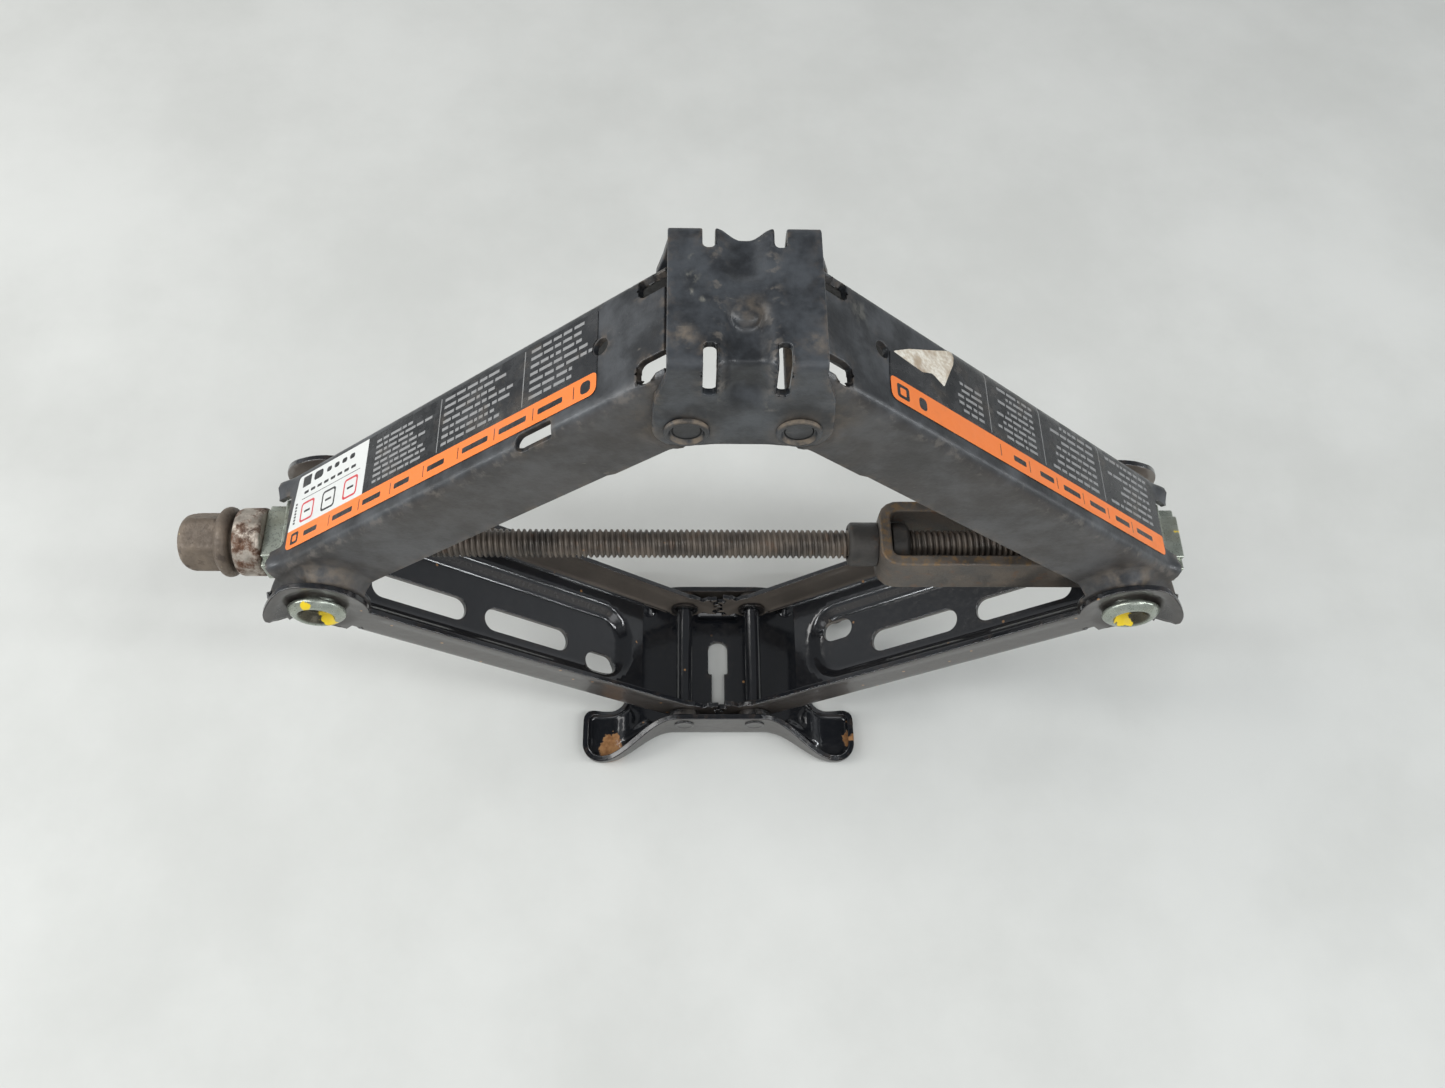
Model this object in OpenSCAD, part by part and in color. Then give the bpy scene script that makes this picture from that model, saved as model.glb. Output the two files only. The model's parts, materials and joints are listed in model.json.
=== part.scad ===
// Scissor jack for changing a car wheel: four channel arms, folded by a screw, on a pressed base.
// X runs along the screw with its hex head at -X, every pivot runs along Y, and Z is up.
// The origin is the middle of the base's underside. The jack is drawn partly raised.

/* [Linkage] */
// Distance between the two pivots of each arm
arm_length = 195; // [190:1:200]
// Angle of the arms above the ground
arm_angle = 41; // [40:1:42]
// Distance between the two pivots in the base, and in the saddle
pivot_spacing = 35; // [35:0.5:36]
// Height of the base pivots above the ground
base_pivot_height = 17; // [17:0.5:19]

/* [Arms] */
// Thickness of the arm sheet
arm_sheet = 2.5; // [2:0.1:2.8]
// Half of the outer width of a lower arm
lower_half_width = 30; // [29.8:0.1:30.2]
// Half of the outer width of an upper arm
upper_half_width = 21.8; // [21.5:0.1:22]
// How far the lower arm's lip stands above its pivot line
lower_lip_rise = 10; // [8:0.5:10]
// How far the lower arm's web lies below its pivot line
lower_web_drop = 11.5; // [11:0.1:11.5]
// How far the pressed panel lies below the rest of the lower web
panel_depth = 5; // [3:0.5:5]
// How far the upper arm's web stands above its pivot line
upper_web_rise = 22; // [21:0.5:22]
// How far the upper arm's lip hangs below its pivot line
upper_lip_drop = 10; // [8:0.5:10]
// Radius of the rounded outer end of a lower arm
ear_radius = 20; // [18:0.5:21]
// Radius of the pad that spreads the upper arm out to the lower one
pad_radius = 19.5; // [18:0.5:19.5]

/* [Gears] */
// Number of teeth that a whole gear would have
gear_count = 20; // [20:1:20]
// Height of a tooth above its pitch circle
tooth_addendum = 1.3; // [1.1:0.1:1.3]
// Depth of a tooth below its pitch circle
tooth_dedendum = 1.8; // [1.8:0.1:2]

/* [Base and saddle] */
// Thickness of the base sheet and of the saddle sheet
plate_sheet = 2.8; // [2.5:0.1:3]
// Half of the base's length
base_half_length = 68.5; // [67:0.5:70]
// Half of the base's depth over its feet
base_half_depth = 52; // [50:0.5:53]
// Height of the base walls
base_wall_height = 25; // [24:0.5:28]
// Half of the saddle's length
saddle_half_length = 23.5; // [22.5:0.5:24]
// Height of the saddle's top above its pivots
saddle_rise = 34; // [34:0.5:36]
// How far the saddle walls hang below their pivots
saddle_drop = 9; // [8:0.5:9]

/* [Screw] */
// Diameter of the screw over its thread
screw_diameter = 12; // [11:0.5:12]
// Length of screw on the far side of the left pivot
screw_reach = 335; // [333:1:345]
// Distance across the flats of the drive head
hex_flats = 22; // [19:1:22]
// Distance from the left pivot to the end of the drive head
head_reach = 58; // [56:1:60]

/* [Hidden] */
$fn = 64;

side_pivot_x = pivot_spacing / 2 + arm_length * cos(arm_angle);
side_pivot_z = base_pivot_height + arm_length * sin(arm_angle);
top_pivot_z = base_pivot_height + 2 * arm_length * sin(arm_angle);

running_fit = 0.05;        // radial clearance of a pin in its bore
open_pivot_fit = 0.25;     // radial clearance where the closed linkage is opened
gap = 0.5;                 // side clearance between neighbouring sheets
lower_inside = lower_half_width - arm_sheet;
upper_inside = upper_half_width - arm_sheet;
pad_inside = lower_inside - gap - arm_sheet;
saddle_inside = upper_half_width + gap;
base_inside = lower_half_width + 3.2;

pin_radius = 4;
journal_radius = 8;
pivot_head_radius = 11.5;
gear_radius = pivot_spacing / 2;
tooth_pitch = 360 / gear_count;
gear_end_radius = 11.5;
saddle_ear_radius = 10.8;
top_end_radius = 13;

lower_web_start = 20;
lower_web_end = arm_length - 22;
panel_start = 28;
panel_half_width = 19;
slot_middle = -4.5;        // sideways place of the slots in the lower web
slot_width = 11;

upper_web_start = -4;
tongue_end = arm_length + 10;
tongue_half_width = 12;
recess_half_width = 11.5;
recess_depth = 9;

groove_half_width = 9;
groove_depth = 6;
saddle_slot_inner = 9.4;
saddle_slot_width = 4;
saddle_slot_length = 8;
saddle_slot_drop = 16;

screw_radius = screw_diameter / 2;
block_step = 23.5;         // reach of the trunnion's low step from its pivot
block_reach = 15.5;        // reach of the trunnion's full height from its pivot
block_half_height = 11;
step_half_height = 5.8;
block_half_width = 14;
yoke_inside = 10;
yoke_sheet = 5;
yoke_reach = 102.4;        // from the right pivot to the outside of the yoke's web
yoke_half_height = 10.8;
nut_radius = 9.2;
nut_neck_radius = 7.5;
cup_radius = 14;
cup_bore = 12.3;
cup_reach = 34.5;
race_radius = 11.8;
race_thickness = 2;
ball_radius = 1.6;
ball_circle = 9.6;
ball_count = 12;
cup_floor = 1.5;
inner_race_start = -block_step - cup_floor - race_thickness;
outer_race_start = inner_race_start - 2 * ball_radius - race_thickness - 0.2;
label_thickness = 0.2;

black_paint = [0.10, 0.11, 0.12];
oiled_steel = [0.25, 0.20, 0.17];
zinc = [0.70, 0.72, 0.68];
bearing_steel = [0.55, 0.55, 0.55];
label_orange = [0.95, 0.45, 0.15];

// Places its children in the frame of a lower arm: pivot at the origin, X along the arm.
module in_lower_arm(side) {
    mirror([side < 0 ? 1 : 0, 0, 0])
        translate([pivot_spacing / 2, 0, base_pivot_height])
            rotate([0, -arm_angle, 0]) children();
}

// Places its children in the frame of an upper arm: side pivot at the origin, X up the arm.
module in_upper_arm(side) {
    mirror([side > 0 ? 1 : 0, 0, 0])
        translate([-side_pivot_x, 0, side_pivot_z])
            rotate([0, -arm_angle, 0]) children();
}

// Extrudes an outline drawn in X and Z from one Y to another.
module along_y(from_y, to_y) {
    translate([0, to_y, 0]) rotate([90, 0, 0]) linear_extrude(to_y - from_y) children();
}

// Draws the same sheet outline on both sides of the middle.
module both_sides(inside, sheet) {
    for (m = [0, 1]) mirror([0, m, 0]) along_y(inside, inside + sheet) children();
}

// A rod along Y, centred on the middle.
module rod_y(radius, half_length) {
    rotate([90, 0, 0]) cylinder(r = radius, h = 2 * half_length, center = true);
}

// A rod along X between two places.
module rod_x(radius, from_x, to_x) {
    translate([from_x, 0, 0]) rotate([0, 90, 0]) cylinder(r = radius, h = to_x - from_x);
}

// A box given by its lowest and highest corners.
module block(low, high) {
    translate(low) cube(high - low);
}

// A flat slot with round ends, cut downwards through a web.
module round_slot(from_x, to_x, middle_y, width, low_z, high_z) {
    r = width / 2;
    translate([0, middle_y, low_z]) linear_extrude(high_z - low_z) {
        translate([from_x + r, 0]) circle(r);
        translate([to_x - r, 0]) circle(r);
        translate([from_x + r, -r]) square([to_x - from_x - width, width]);
    }
}

// Gear teeth about the origin, the first at first_angle, on a sector of the root circle.
module gear_teeth(first_angle, teeth) {
    root = gear_radius - tooth_dedendum;
    tip = gear_radius + tooth_addendum;
    reach = 2 * tip;
    start = first_angle - tooth_pitch / 2;
    finish = first_angle + (teeth - 0.6) * tooth_pitch;
    middle = (start + finish) / 2;
    intersection() {
        circle(root);
        polygon([
            [0, 0],
            reach * [cos(start), sin(start)],
            reach * [cos(middle), sin(middle)],
            reach * [cos(finish), sin(finish)]
        ]);
    }
    for (k = [0 : teeth - 1]) rotate(first_angle + k * tooth_pitch)
        polygon([[root - 1, -1.65], [tip, -0.45], [tip, 0.45], [root - 1, 1.65]]);
}

module lower_arm(first_tooth, teeth, slot_side) {
    difference() {
        union() {
            both_sides(lower_inside, arm_sheet) {
                circle(gear_end_radius);
                gear_teeth(first_tooth, teeth);
                translate([0, -lower_web_drop])
                    square([arm_length, lower_web_drop + lower_lip_rise]);
                translate([arm_length, 0]) circle(ear_radius);
            }
            lower_web();
        }
        rod_y(pin_radius + running_fit, lower_half_width + 1);
        translate([arm_length, 0, 0]) rod_y(journal_radius + running_fit, lower_half_width + 1);
        lower_web_slots(slot_side);
    }
}

// The lower web with its pressed panel, which runs out through the outer end.
module lower_web() {
    top = -lower_web_drop + arm_sheet;
    difference() {
        block([lower_web_start, -lower_half_width, -lower_web_drop],
              [lower_web_end, lower_half_width, top]);
        block([panel_start, -panel_half_width, -lower_web_drop - 1],
              [lower_web_end + 1, panel_half_width, top + 1]);
    }
    difference() {
        block([panel_start, -panel_half_width, -lower_web_drop - panel_depth],
              [lower_web_end, panel_half_width, top]);
        block([panel_start + arm_sheet, arm_sheet - panel_half_width, top - panel_depth],
              [lower_web_end + 1, panel_half_width - arm_sheet, top + 1]);
    }
}

module lower_web_slots(slot_side) {
    low = -lower_web_drop - panel_depth - 1;
    high = -lower_web_drop + arm_sheet + 1;
    round_slot(120, 167, slot_middle, slot_width, low, high);
    round_slot(63, 110, slot_middle, slot_width, low, high);
    round_slot(35, 52, slot_side * 9 + slot_middle / 3, 10, low, high);
}

module upper_arm(first_tooth, teeth, edge_slot, top_fit) {
    web_low = upper_web_rise - arm_sheet;
    difference() {
        union() {
            both_sides(upper_inside, arm_sheet) difference() {
                union() {
                    translate([upper_web_start, -upper_lip_drop])
                        square([arm_length - upper_web_start - 1, upper_lip_drop + upper_web_rise]);
                    translate([arm_length, 0]) {
                        circle(top_end_radius);
                        // The corner that runs on under the saddle
                        polygon([[-1, 0], [-1, upper_web_rise], [9, upper_web_rise], [11, 14], [12, 0]]);
                        gear_teeth(first_tooth, teeth);
                        translate([-top_end_radius, -upper_lip_drop])
                            square([top_end_radius, upper_lip_drop + 8]);
                    }
                }
                circle(pad_radius);
            }
            both_sides(upper_inside, pad_inside + arm_sheet - upper_inside) difference() {
                circle(pad_radius + arm_sheet);
                circle(pad_radius);
                translate([-50, upper_web_rise - arm_sheet - 2]) square([100, 50]);
            }
            both_sides(pad_inside, arm_sheet) difference() {
                circle(pad_radius + arm_sheet);
                translate([-50, upper_web_rise - arm_sheet - 2]) square([100, 50]);
            }
            block([upper_web_start, -upper_half_width, web_low],
                  [arm_length - 1, upper_half_width, upper_web_rise]);
            block([arm_length - 1, -tongue_half_width, web_low],
                  [tongue_end, tongue_half_width, upper_web_rise]);
        }
        rod_y(journal_radius + running_fit, lower_half_width);
        translate([arm_length, 0, 0]) rod_y(pin_radius + top_fit, upper_half_width + 1);
        block([upper_web_start - 1, -recess_half_width, web_low - 1],
              [upper_web_start + recess_depth, recess_half_width, upper_web_rise + 1]);
        if (edge_slot) block([139, -upper_half_width - 1, web_low - 3],
                             [156, 1 - upper_inside, upper_web_rise + 1]);
        translate([178, 2, web_low - 1]) cylinder(r = 3, h = arm_sheet + 2);
    }
}

module base_plate() {
    wall_top = base_wall_height;
    color(black_paint) difference() {
        linear_extrude(wall_top) base_outline(0);
        translate([0, 0, plate_sheet]) linear_extrude(wall_top) base_outline(plate_sheet);
        // The rim falls from the walls down to the feet
        for (m = [0, 1]) mirror([m, 0, 0]) along_y(-60, 60)
            polygon([[25, wall_top + 1], [25, wall_top], [38, 17], [56, 8], [70, 6], [70, wall_top + 1]]);
        // No rim stands in the way of the folding arms
        for (m = [0, 1]) mirror([m, 0, 0]) {
            block([20, -base_inside, plate_sheet], [60, base_inside, wall_top + 1]);
            block([48, -23, plate_sheet], [base_half_length + 1, 23, wall_top + 1]);
        }
        for (side = [-1, 1]) translate([side * pivot_spacing / 2, 0, base_pivot_height])
            rod_y(pin_radius, base_half_depth);
        keyhole();
        // Windows that the lowest gear teeth dip into
        for (m = [0, 1]) mirror([0, m, 0])
            block([-14, lower_inside - gap, -1], [14, lower_half_width + gap, plate_sheet + 1]);
    }
}

// Outline of the base seen from above, drawn smaller by inset: two walls that sweep out to four feet.
module base_outline(inset) {
    waist = base_inside + plate_sheet - inset;
    foot = base_half_depth - inset;
    edge = base_half_length - inset;
    end = 48 - inset;
    corner = 10 - inset;
    sweep_start = 23 + inset / 2;
    sweep_end = 58;
    steps = 8;
    quarter = concat(
        [[end, 0], [end, 20 + inset], [sweep_end, 24 + inset], [edge, 24 + inset]],
        [for (k = [0 : steps]) [edge - corner + corner * cos(90 * k / steps),
                                foot - corner + corner * sin(90 * k / steps)]],
        [for (k = [1 : steps]) let (s = 1 - k / steps)
            [sweep_start + s * (sweep_end - sweep_start),
             waist + (foot - waist) * (1 - cos(180 * s)) / 2]]
    );
    corners = len(quarter);
    polygon(concat(
        quarter,
        [for (k = [corners - 1 : -1 : 0]) [-quarter[k][0], quarter[k][1]]],
        [for (k = [1 : corners - 1]) [-quarter[k][0], -quarter[k][1]]],
        [for (k = [corners - 1 : -1 : 1]) [quarter[k][0], -quarter[k][1]]]
    ));
}

// Stowing keyhole in the base floor: a wide end that leads into a narrow one.
module keyhole() {
    translate([0, 0, -1]) linear_extrude(plate_sheet + 2) {
        translate([-5, -4]) square([10, 13]);
        translate([0, 9]) circle(5);
        translate([-3.2, -19]) square([6.4, 16]);
        translate([0, -19]) circle(3.2);
    }
}

module base_pin(side) {
    color(oiled_steel) translate([side * pivot_spacing / 2, 0, base_pivot_height]) {
        rod_y(pin_radius, base_inside + plate_sheet);
        for (m = [0, 1]) mirror([0, m, 0]) translate([0, base_inside + plate_sheet, 0])
            rotate([-90, 0, 0]) cylinder(r1 = 5, r2 = 4.2, h = 0.8);
    }
}

// Washers on both sides of each lower arm's flanges, which keep the arms centred on their pins.
module base_pin_washers() {
    clear = 0.3;
    color(oiled_steel) for (side = [-1, 1], m = [0, 1]) mirror([0, m, 0])
        translate([side * pivot_spacing / 2, 0, base_pivot_height]) {
            washer_y(7, lower_inside - clear - 1.6, lower_inside - clear);
            washer_y(8, lower_half_width + clear, base_inside - 0.1);
        }
}

module washer_y(radius, from_y, to_y) {
    translate([0, to_y, 0]) rotate([90, 0, 0]) difference() {
        cylinder(r = radius, h = to_y - from_y);
        translate([0, 0, -1]) cylinder(r = pin_radius, h = to_y - from_y + 2);
    }
}

module saddle_plate() {
    top = saddle_rise;
    outside = saddle_inside + plate_sheet;
    groove_floor = top - groove_depth;
    color(black_paint) translate([0, 0, top_pivot_z]) difference() {
        union() {
            // Top with its groove
            along_y(-outside, outside) polygon([
                [-saddle_half_length, top], [-groove_half_width, top], [-6, groove_floor],
                [6, groove_floor], [groove_half_width, top], [saddle_half_length, top],
                [saddle_half_length, top - plate_sheet], [groove_half_width + 1.5, top - plate_sheet],
                [7.5, groove_floor - plate_sheet], [-7.5, groove_floor - plate_sheet],
                [-groove_half_width - 1.5, top - plate_sheet], [-saddle_half_length, top - plate_sheet]
            ]);
            both_sides(saddle_inside, plate_sheet) saddle_wall_outline();
            // Locating dome in the groove
            translate([0, -3, groove_floor - 0.5]) cylinder(r1 = 5, r2 = 2.5, h = 3.5);
        }
        for (side = [-1, 1]) translate([side * pivot_spacing / 2, 0, 0]) rod_y(pin_radius, outside + 1);
        // Slots beside the groove, across both bends
        for (m = [0, 1], n = [0, 1]) mirror([m, 0, 0]) mirror([0, n, 0])
            block([saddle_slot_inner, outside - saddle_slot_length, top - saddle_slot_drop],
                  [saddle_slot_inner + saddle_slot_width, outside + 1, top + 1]);
        // The groove runs out over both bends
        for (n = [0, 1]) mirror([0, n, 0]) along_x(-saddle_slot_inner, saddle_slot_inner)
            polygon([[outside - 6, groove_floor], [outside + 1, groove_floor],
                     [outside + 1, top + 1], [outside - 6, top + 1]]);
    }
}

// Extrudes an outline drawn in Y and Z from one X to another.
module along_x(from_x, to_x) {
    translate([from_x, 0, 0]) rotate([90, 0, 90]) linear_extrude(to_x - from_x) children();
}

// Outline of one saddle wall: it widens downwards to a round ear over each pin.
module saddle_wall_outline() {
    pin_x = pivot_spacing / 2;
    ear_edge = pin_x + saddle_ear_radius;
    ear_end = asin(saddle_drop / saddle_ear_radius);
    steps = 6;
    half = concat(
        [[saddle_half_length, saddle_rise - 1], [saddle_half_length, saddle_rise - 5],
         [ear_edge - 1.1, 16]],
        [for (k = [0 : steps]) [pin_x + saddle_ear_radius * cos(ear_end * k / steps),
                                -saddle_ear_radius * sin(ear_end * k / steps)]]
    );
    polygon(concat(half, [for (k = [len(half) - 1 : -1 : 0]) [-half[k][0], half[k][1]]]));
}

module saddle_pin(side) {
    outside = saddle_inside + plate_sheet;
    color(oiled_steel) translate([side * pivot_spacing / 2, 0, top_pivot_z]) {
        rod_y(pin_radius, outside);
        for (m = [0, 1]) mirror([0, m, 0]) translate([0, outside, 0])
            rotate([-90, 0, 0]) cylinder(r1 = 6.5, r2 = 5.5, h = 1.4);
    }
}

// The outline of a trunnion block seen along its pivot: full height, then a low step outwards.
module trunnion_outline() {
    translate([-block_reach, -block_half_height])
        square([block_reach + 11.5, 2 * block_half_height]);
    translate([-block_step, -step_half_height]) square([block_step, 2 * step_half_height]);
}

// Round journals on both sides with hollow formed heads outside the lower arm.
module trunnion_journals(inner_y) {
    head_y = lower_half_width + 0.3;
    for (m = [0, 1]) mirror([0, m, 0]) rotate([-90, 0, 0]) difference() {
        union() {
            translate([0, 0, inner_y]) cylinder(r = journal_radius, h = head_y - inner_y + 1);
            translate([0, 0, head_y]) cylinder(r = pivot_head_radius, h = 1.6);
            translate([0, 0, head_y + 1.6]) cylinder(r1 = pivot_head_radius, r2 = 8.5, h = 2);
        }
        translate([0, 0, head_y - 1]) cylinder(r1 = 4.5, r2 = 7, h = 4.7);
    }
}

module left_trunnion() {
    color(zinc) translate([-side_pivot_x, 0, side_pivot_z]) difference() {
        union() {
            along_y(-block_half_width, block_half_width) trunnion_outline();
            trunnion_journals(block_half_width - 1);
        }
        rod_x(screw_radius + 0.3, -block_step - 1, block_reach);
    }
}

module right_trunnion() {
    color(zinc) translate([side_pivot_x, 0, side_pivot_z]) mirror([1, 0, 0]) difference() {
        union() {
            along_y(-yoke_inside, yoke_inside) trunnion_outline();
            intersection() {
                along_y(-block_half_width, block_half_width) trunnion_outline();
                block([-block_step, -block_half_width, -20], [-12.5, block_half_width, 20]);
            }
            trunnion_journals(yoke_inside - 1);
        }
        rod_x(screw_radius + 0.8, -block_step - 1, block_reach);
    }
}

module yoke() {
    outside = yoke_inside + yoke_sheet;
    hole = nut_neck_radius;
    color(oiled_steel) translate([side_pivot_x, 0, side_pivot_z]) difference() {
        union() {
            both_sides(yoke_inside, yoke_sheet) {
                circle(yoke_half_height);
                translate([8 - yoke_reach, -yoke_half_height])
                    square([yoke_reach - 8, 2 * yoke_half_height]);
            }
            // Web with rounded corners where it turns into the legs
            translate([0, 0, -yoke_half_height]) linear_extrude(2 * yoke_half_height) difference() {
                union() {
                    translate([-yoke_reach, 8 - outside]) square([8, 2 * outside - 16]);
                    for (m = [-1, 1]) translate([8 - yoke_reach, m * (outside - 8)]) circle(8);
                }
                translate([5.7 - yoke_reach, -yoke_inside]) square([20, 2 * yoke_inside]);
            }
        }
        rod_y(journal_radius, outside + 1);
        rod_x(hole, -yoke_reach - 1, -yoke_reach + 8);
    }
}

module drive_nut() {
    color(oiled_steel) translate([side_pivot_x, 0, side_pivot_z]) difference() {
        union() {
            rod_x(nut_radius, -yoke_reach - 12.1, -yoke_reach);
            rod_x(nut_neck_radius, -yoke_reach - 1, 6.5 - yoke_reach);
            rod_x(nut_radius - 0.4, 5.8 - yoke_reach, 13 - yoke_reach);
        }
        rod_x(screw_radius + running_fit, -yoke_reach - 13, 14 - yoke_reach);
    }
}

module screw() {
    color(oiled_steel) translate([-side_pivot_x, 0, side_pivot_z]) {
        rod_x(screw_radius, -head_reach + 8, screw_reach - 2);
        translate([screw_reach - 2, 0, 0]) rotate([0, 90, 0])
            cylinder(r1 = screw_radius, r2 = screw_radius - 1.5, h = 2);
    }
}

module drive_head() {
    flange_back = cup_reach + 2;
    color(oiled_steel) translate([-side_pivot_x, 0, side_pivot_z]) difference() {
        union() {
            translate([-head_reach, 0, 0]) rotate([0, 90, 0]) rotate(11)
                cylinder(r = hex_flats / sqrt(3), h = head_reach - flange_back - 2, $fn = 6);
            rod_x(14.5, -flange_back - 4.6, -flange_back);
            rod_x(10, -flange_back - 1, outer_race_start);
        }
        rod_x(screw_radius, -head_reach + 8, 0);
    }
}

module bearing_cup() {
    color(oiled_steel) translate([-side_pivot_x, 0, side_pivot_z]) difference() {
        rod_x(cup_radius, -cup_reach, -block_step);
        rod_x(cup_bore, -cup_reach - 1, -block_step - cup_floor);
        rod_x(screw_radius + 0.4, -cup_reach, 0);
    }
}

module race(from_x, bore_radius) {
    color(bearing_steel) translate([-side_pivot_x, 0, side_pivot_z]) difference() {
        rod_x(race_radius, from_x, from_x + race_thickness);
        rod_x(bore_radius, from_x - 1, from_x + race_thickness + 1);
    }
}

module bearing_balls() {
    color(bearing_steel) translate([-side_pivot_x + inner_race_start - ball_radius, 0, side_pivot_z])
        for (k = [0 : ball_count - 1]) rotate([k * 360 / ball_count, 0, 0])
            translate([0, 0, ball_circle]) sphere(ball_radius, $fn = 32);
}

// A thin printed label that lies on the web of an upper arm.
module warning_label(from_x, to_x) {
    color(label_orange) translate([0, 0, upper_web_rise]) linear_extrude(label_thickness) {
        translate([from_x, -15.5]) square([to_x - from_x, 33]);
    }
}

module base_pin_left() base_pin(-1);
module base_pin_right() base_pin(1);
module lower_left_arm() color(black_paint) in_lower_arm(-1) lower_arm(112, 4, -1);
module lower_right_arm() color(black_paint) in_lower_arm(1) lower_arm(103, 5, 1);
module upper_left_arm() color(black_paint) in_upper_arm(-1) upper_arm(-77, 5, true, running_fit);
module upper_right_arm() color(black_paint) in_upper_arm(1) upper_arm(-68, 4, false, open_pivot_fit);
module saddle_pin_left() saddle_pin(-1);
module saddle_pin_right() saddle_pin(1);
module inner_race() race(inner_race_start, screw_radius + 0.4);
module outer_race() race(outer_race_start, screw_radius);
module warning_label_left() in_upper_arm(-1) warning_label(8, 172);
module warning_label_right() in_upper_arm(1) warning_label(7, 172);

base_plate();
base_pin_left();
base_pin_right();
base_pin_washers();
lower_left_arm();
lower_right_arm();
upper_left_arm();
upper_right_arm();
saddle_plate();
saddle_pin_left();
saddle_pin_right();
left_trunnion();
right_trunnion();
yoke();
drive_nut();
screw();
drive_head();
bearing_cup();
inner_race();
outer_race();
bearing_balls();
warning_label_left();
warning_label_right();
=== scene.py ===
"""Scissor jack for changing a car wheel: the visible model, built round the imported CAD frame."""
import json
import math
import random

import bpy
import bmesh
import numpy as np
from mathutils import Matrix, Vector
from mathutils.geometry import delaunay_2d_cdt


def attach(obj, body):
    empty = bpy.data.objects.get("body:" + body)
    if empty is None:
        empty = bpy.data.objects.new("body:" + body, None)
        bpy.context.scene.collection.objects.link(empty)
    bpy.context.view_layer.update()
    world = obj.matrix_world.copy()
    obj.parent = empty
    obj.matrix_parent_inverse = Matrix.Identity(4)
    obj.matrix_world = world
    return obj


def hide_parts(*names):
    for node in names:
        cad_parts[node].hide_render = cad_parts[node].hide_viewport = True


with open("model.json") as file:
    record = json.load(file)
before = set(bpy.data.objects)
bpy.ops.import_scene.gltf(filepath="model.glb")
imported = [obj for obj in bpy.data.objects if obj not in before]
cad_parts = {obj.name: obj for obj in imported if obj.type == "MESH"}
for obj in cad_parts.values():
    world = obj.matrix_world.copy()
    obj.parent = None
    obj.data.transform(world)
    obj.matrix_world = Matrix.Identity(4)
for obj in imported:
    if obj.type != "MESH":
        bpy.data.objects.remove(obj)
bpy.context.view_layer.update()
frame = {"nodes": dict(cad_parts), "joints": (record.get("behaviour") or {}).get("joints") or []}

MM = 0.001                      # every size below is in millimetres; meshes are made in metres
random.seed(7)

# ---------------------------------------------------------------- places, from the frame
joint_at = {j["name"]: Vector(j["pos_m"]) / MM for j in frame["joints"]}
BASE_PIVOT = joint_at["lower_right_fold"]
SIDE_PIVOT = joint_at["right_side_pivot"]
TOP_PIVOT = Vector((BASE_PIVOT.x, 0, joint_at["saddle_left_pivot"].z))
ARM = (SIDE_PIVOT - BASE_PIVOT).length
ARM_ANGLE = math.atan2(SIDE_PIVOT.z - BASE_PIVOT.z, SIDE_PIVOT.x - BASE_PIVOT.x)

# ---------------------------------------------------------------- sizes
ARM_SHEET = 2.5
LOWER_HALF, LOWER_BEND, LOWER_WEB, LOWER_LIP = 30.0, 5.0, -11.5, 10.0
UPPER_HALF, UPPER_BEND, UPPER_WEB, UPPER_LIP = 21.8, 4.5, 22.0, -9.0
UPPER_TOP_LIP = -10.0           # the upper lip near the saddle, where it is a little deeper
PANEL_START, PANEL_HALF, PANEL_DEPTH, PANEL_CORNER, PANEL_SLOPE = 28.0, 19.5, 4.6, 17.0, 5.6
WEB_START, WEB_END = 20.0, 173.0
UPPER_END, TONGUE_END, TONGUE_HALF = 194.0, 205.0, 12.0
PAD_RADIUS, PAD_RISE = 20.5, 5.2
EAR_RADIUS, GEAR_END, TOP_END = 20.0, 11.5, 13.0
FRONT_FLARE, BACK_FLARE = 6.0, 1.8      # how far the front and the rear ears turn out
WEB_SLOT_AT, WEB_SLOT_WIDE = -4.5, 11
PIN_BORE, JOURNAL_BORE = 4.05, 8.05
GEAR_RADIUS, TOOTH_PITCH, TOOTH_UP, TOOTH_DOWN = BASE_PIVOT.x, 18.0, 1.3, 1.8

PLATE = 2.8
BASE_WALL, BASE_WAIST, BASE_LENGTH, BASE_DEPTH, BASE_BEND = 25.0, 36.0, 68.5, 52.0, 5.0
POCKET_HALF, POCKET_AT, POCKET_WIDE, POCKET_SLOPE, POCKET_DEPTH = 11.0, 28.75, 1.9, 0.5, 1.7
SADDLE_LENGTH, SADDLE_HALF, SADDLE_BEND, SADDLE_TOP, SADDLE_LIP = 23.5, 25.1, 3.4, 34.0, -9.0
SADDLE_EAR = 10.8               # round each pin
GROOVE_HALF, GROOVE_FLOOR, REAR_FLOOR = 8.7, 3.4, 1.2
GROOVE_DEPTH, REAR_DEPTH, GROOVE_PRESS, GROOVE_BRIDGE, GROOVE_TOP_GAP = 3.6, 2.3, 3.4, 0.9, 0.1
DOME_AT, DOME_TOP, DOME_FOOT = -5.2, 3.9, 5.2
SLIT_IN, SLIT_OUT, REAR_FLARE, SADDLE_GAP = 9.0, 12.9, 2.2, 0.02

SCREW_RADIUS, THREAD_PITCH, THREAD_DEPTH = 6.0, 2.4, 1.1
SCREW_START, PLAIN_SHANK, SCREW_END = -50.0, 14, 335.0
BLOCK_TALL, BLOCK_REACH, BLOCK_STEP, STEP_TALL, NECK_TALL = 11.0, 15.5, 23.5, 5.8, 8.4
HEAD_FACE = 30.3                # where a side pivot's formed head starts
YOKE_REACH = 102.4


# ---------------------------------------------------------------- outlines, in millimetres
def arc(x, y, radius, start, end, steps=16):
    """Points on an arc, with its angles in degrees."""
    return [(x + radius * math.cos(math.radians(start + (end - start) * k / steps)),
             y + radius * math.sin(math.radians(start + (end - start) * k / steps)))
            for k in range(steps + 1)]


def circle(x, y, radius, steps=40):
    return arc(x, y, radius, 0, 360, steps)[:-1]


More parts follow.
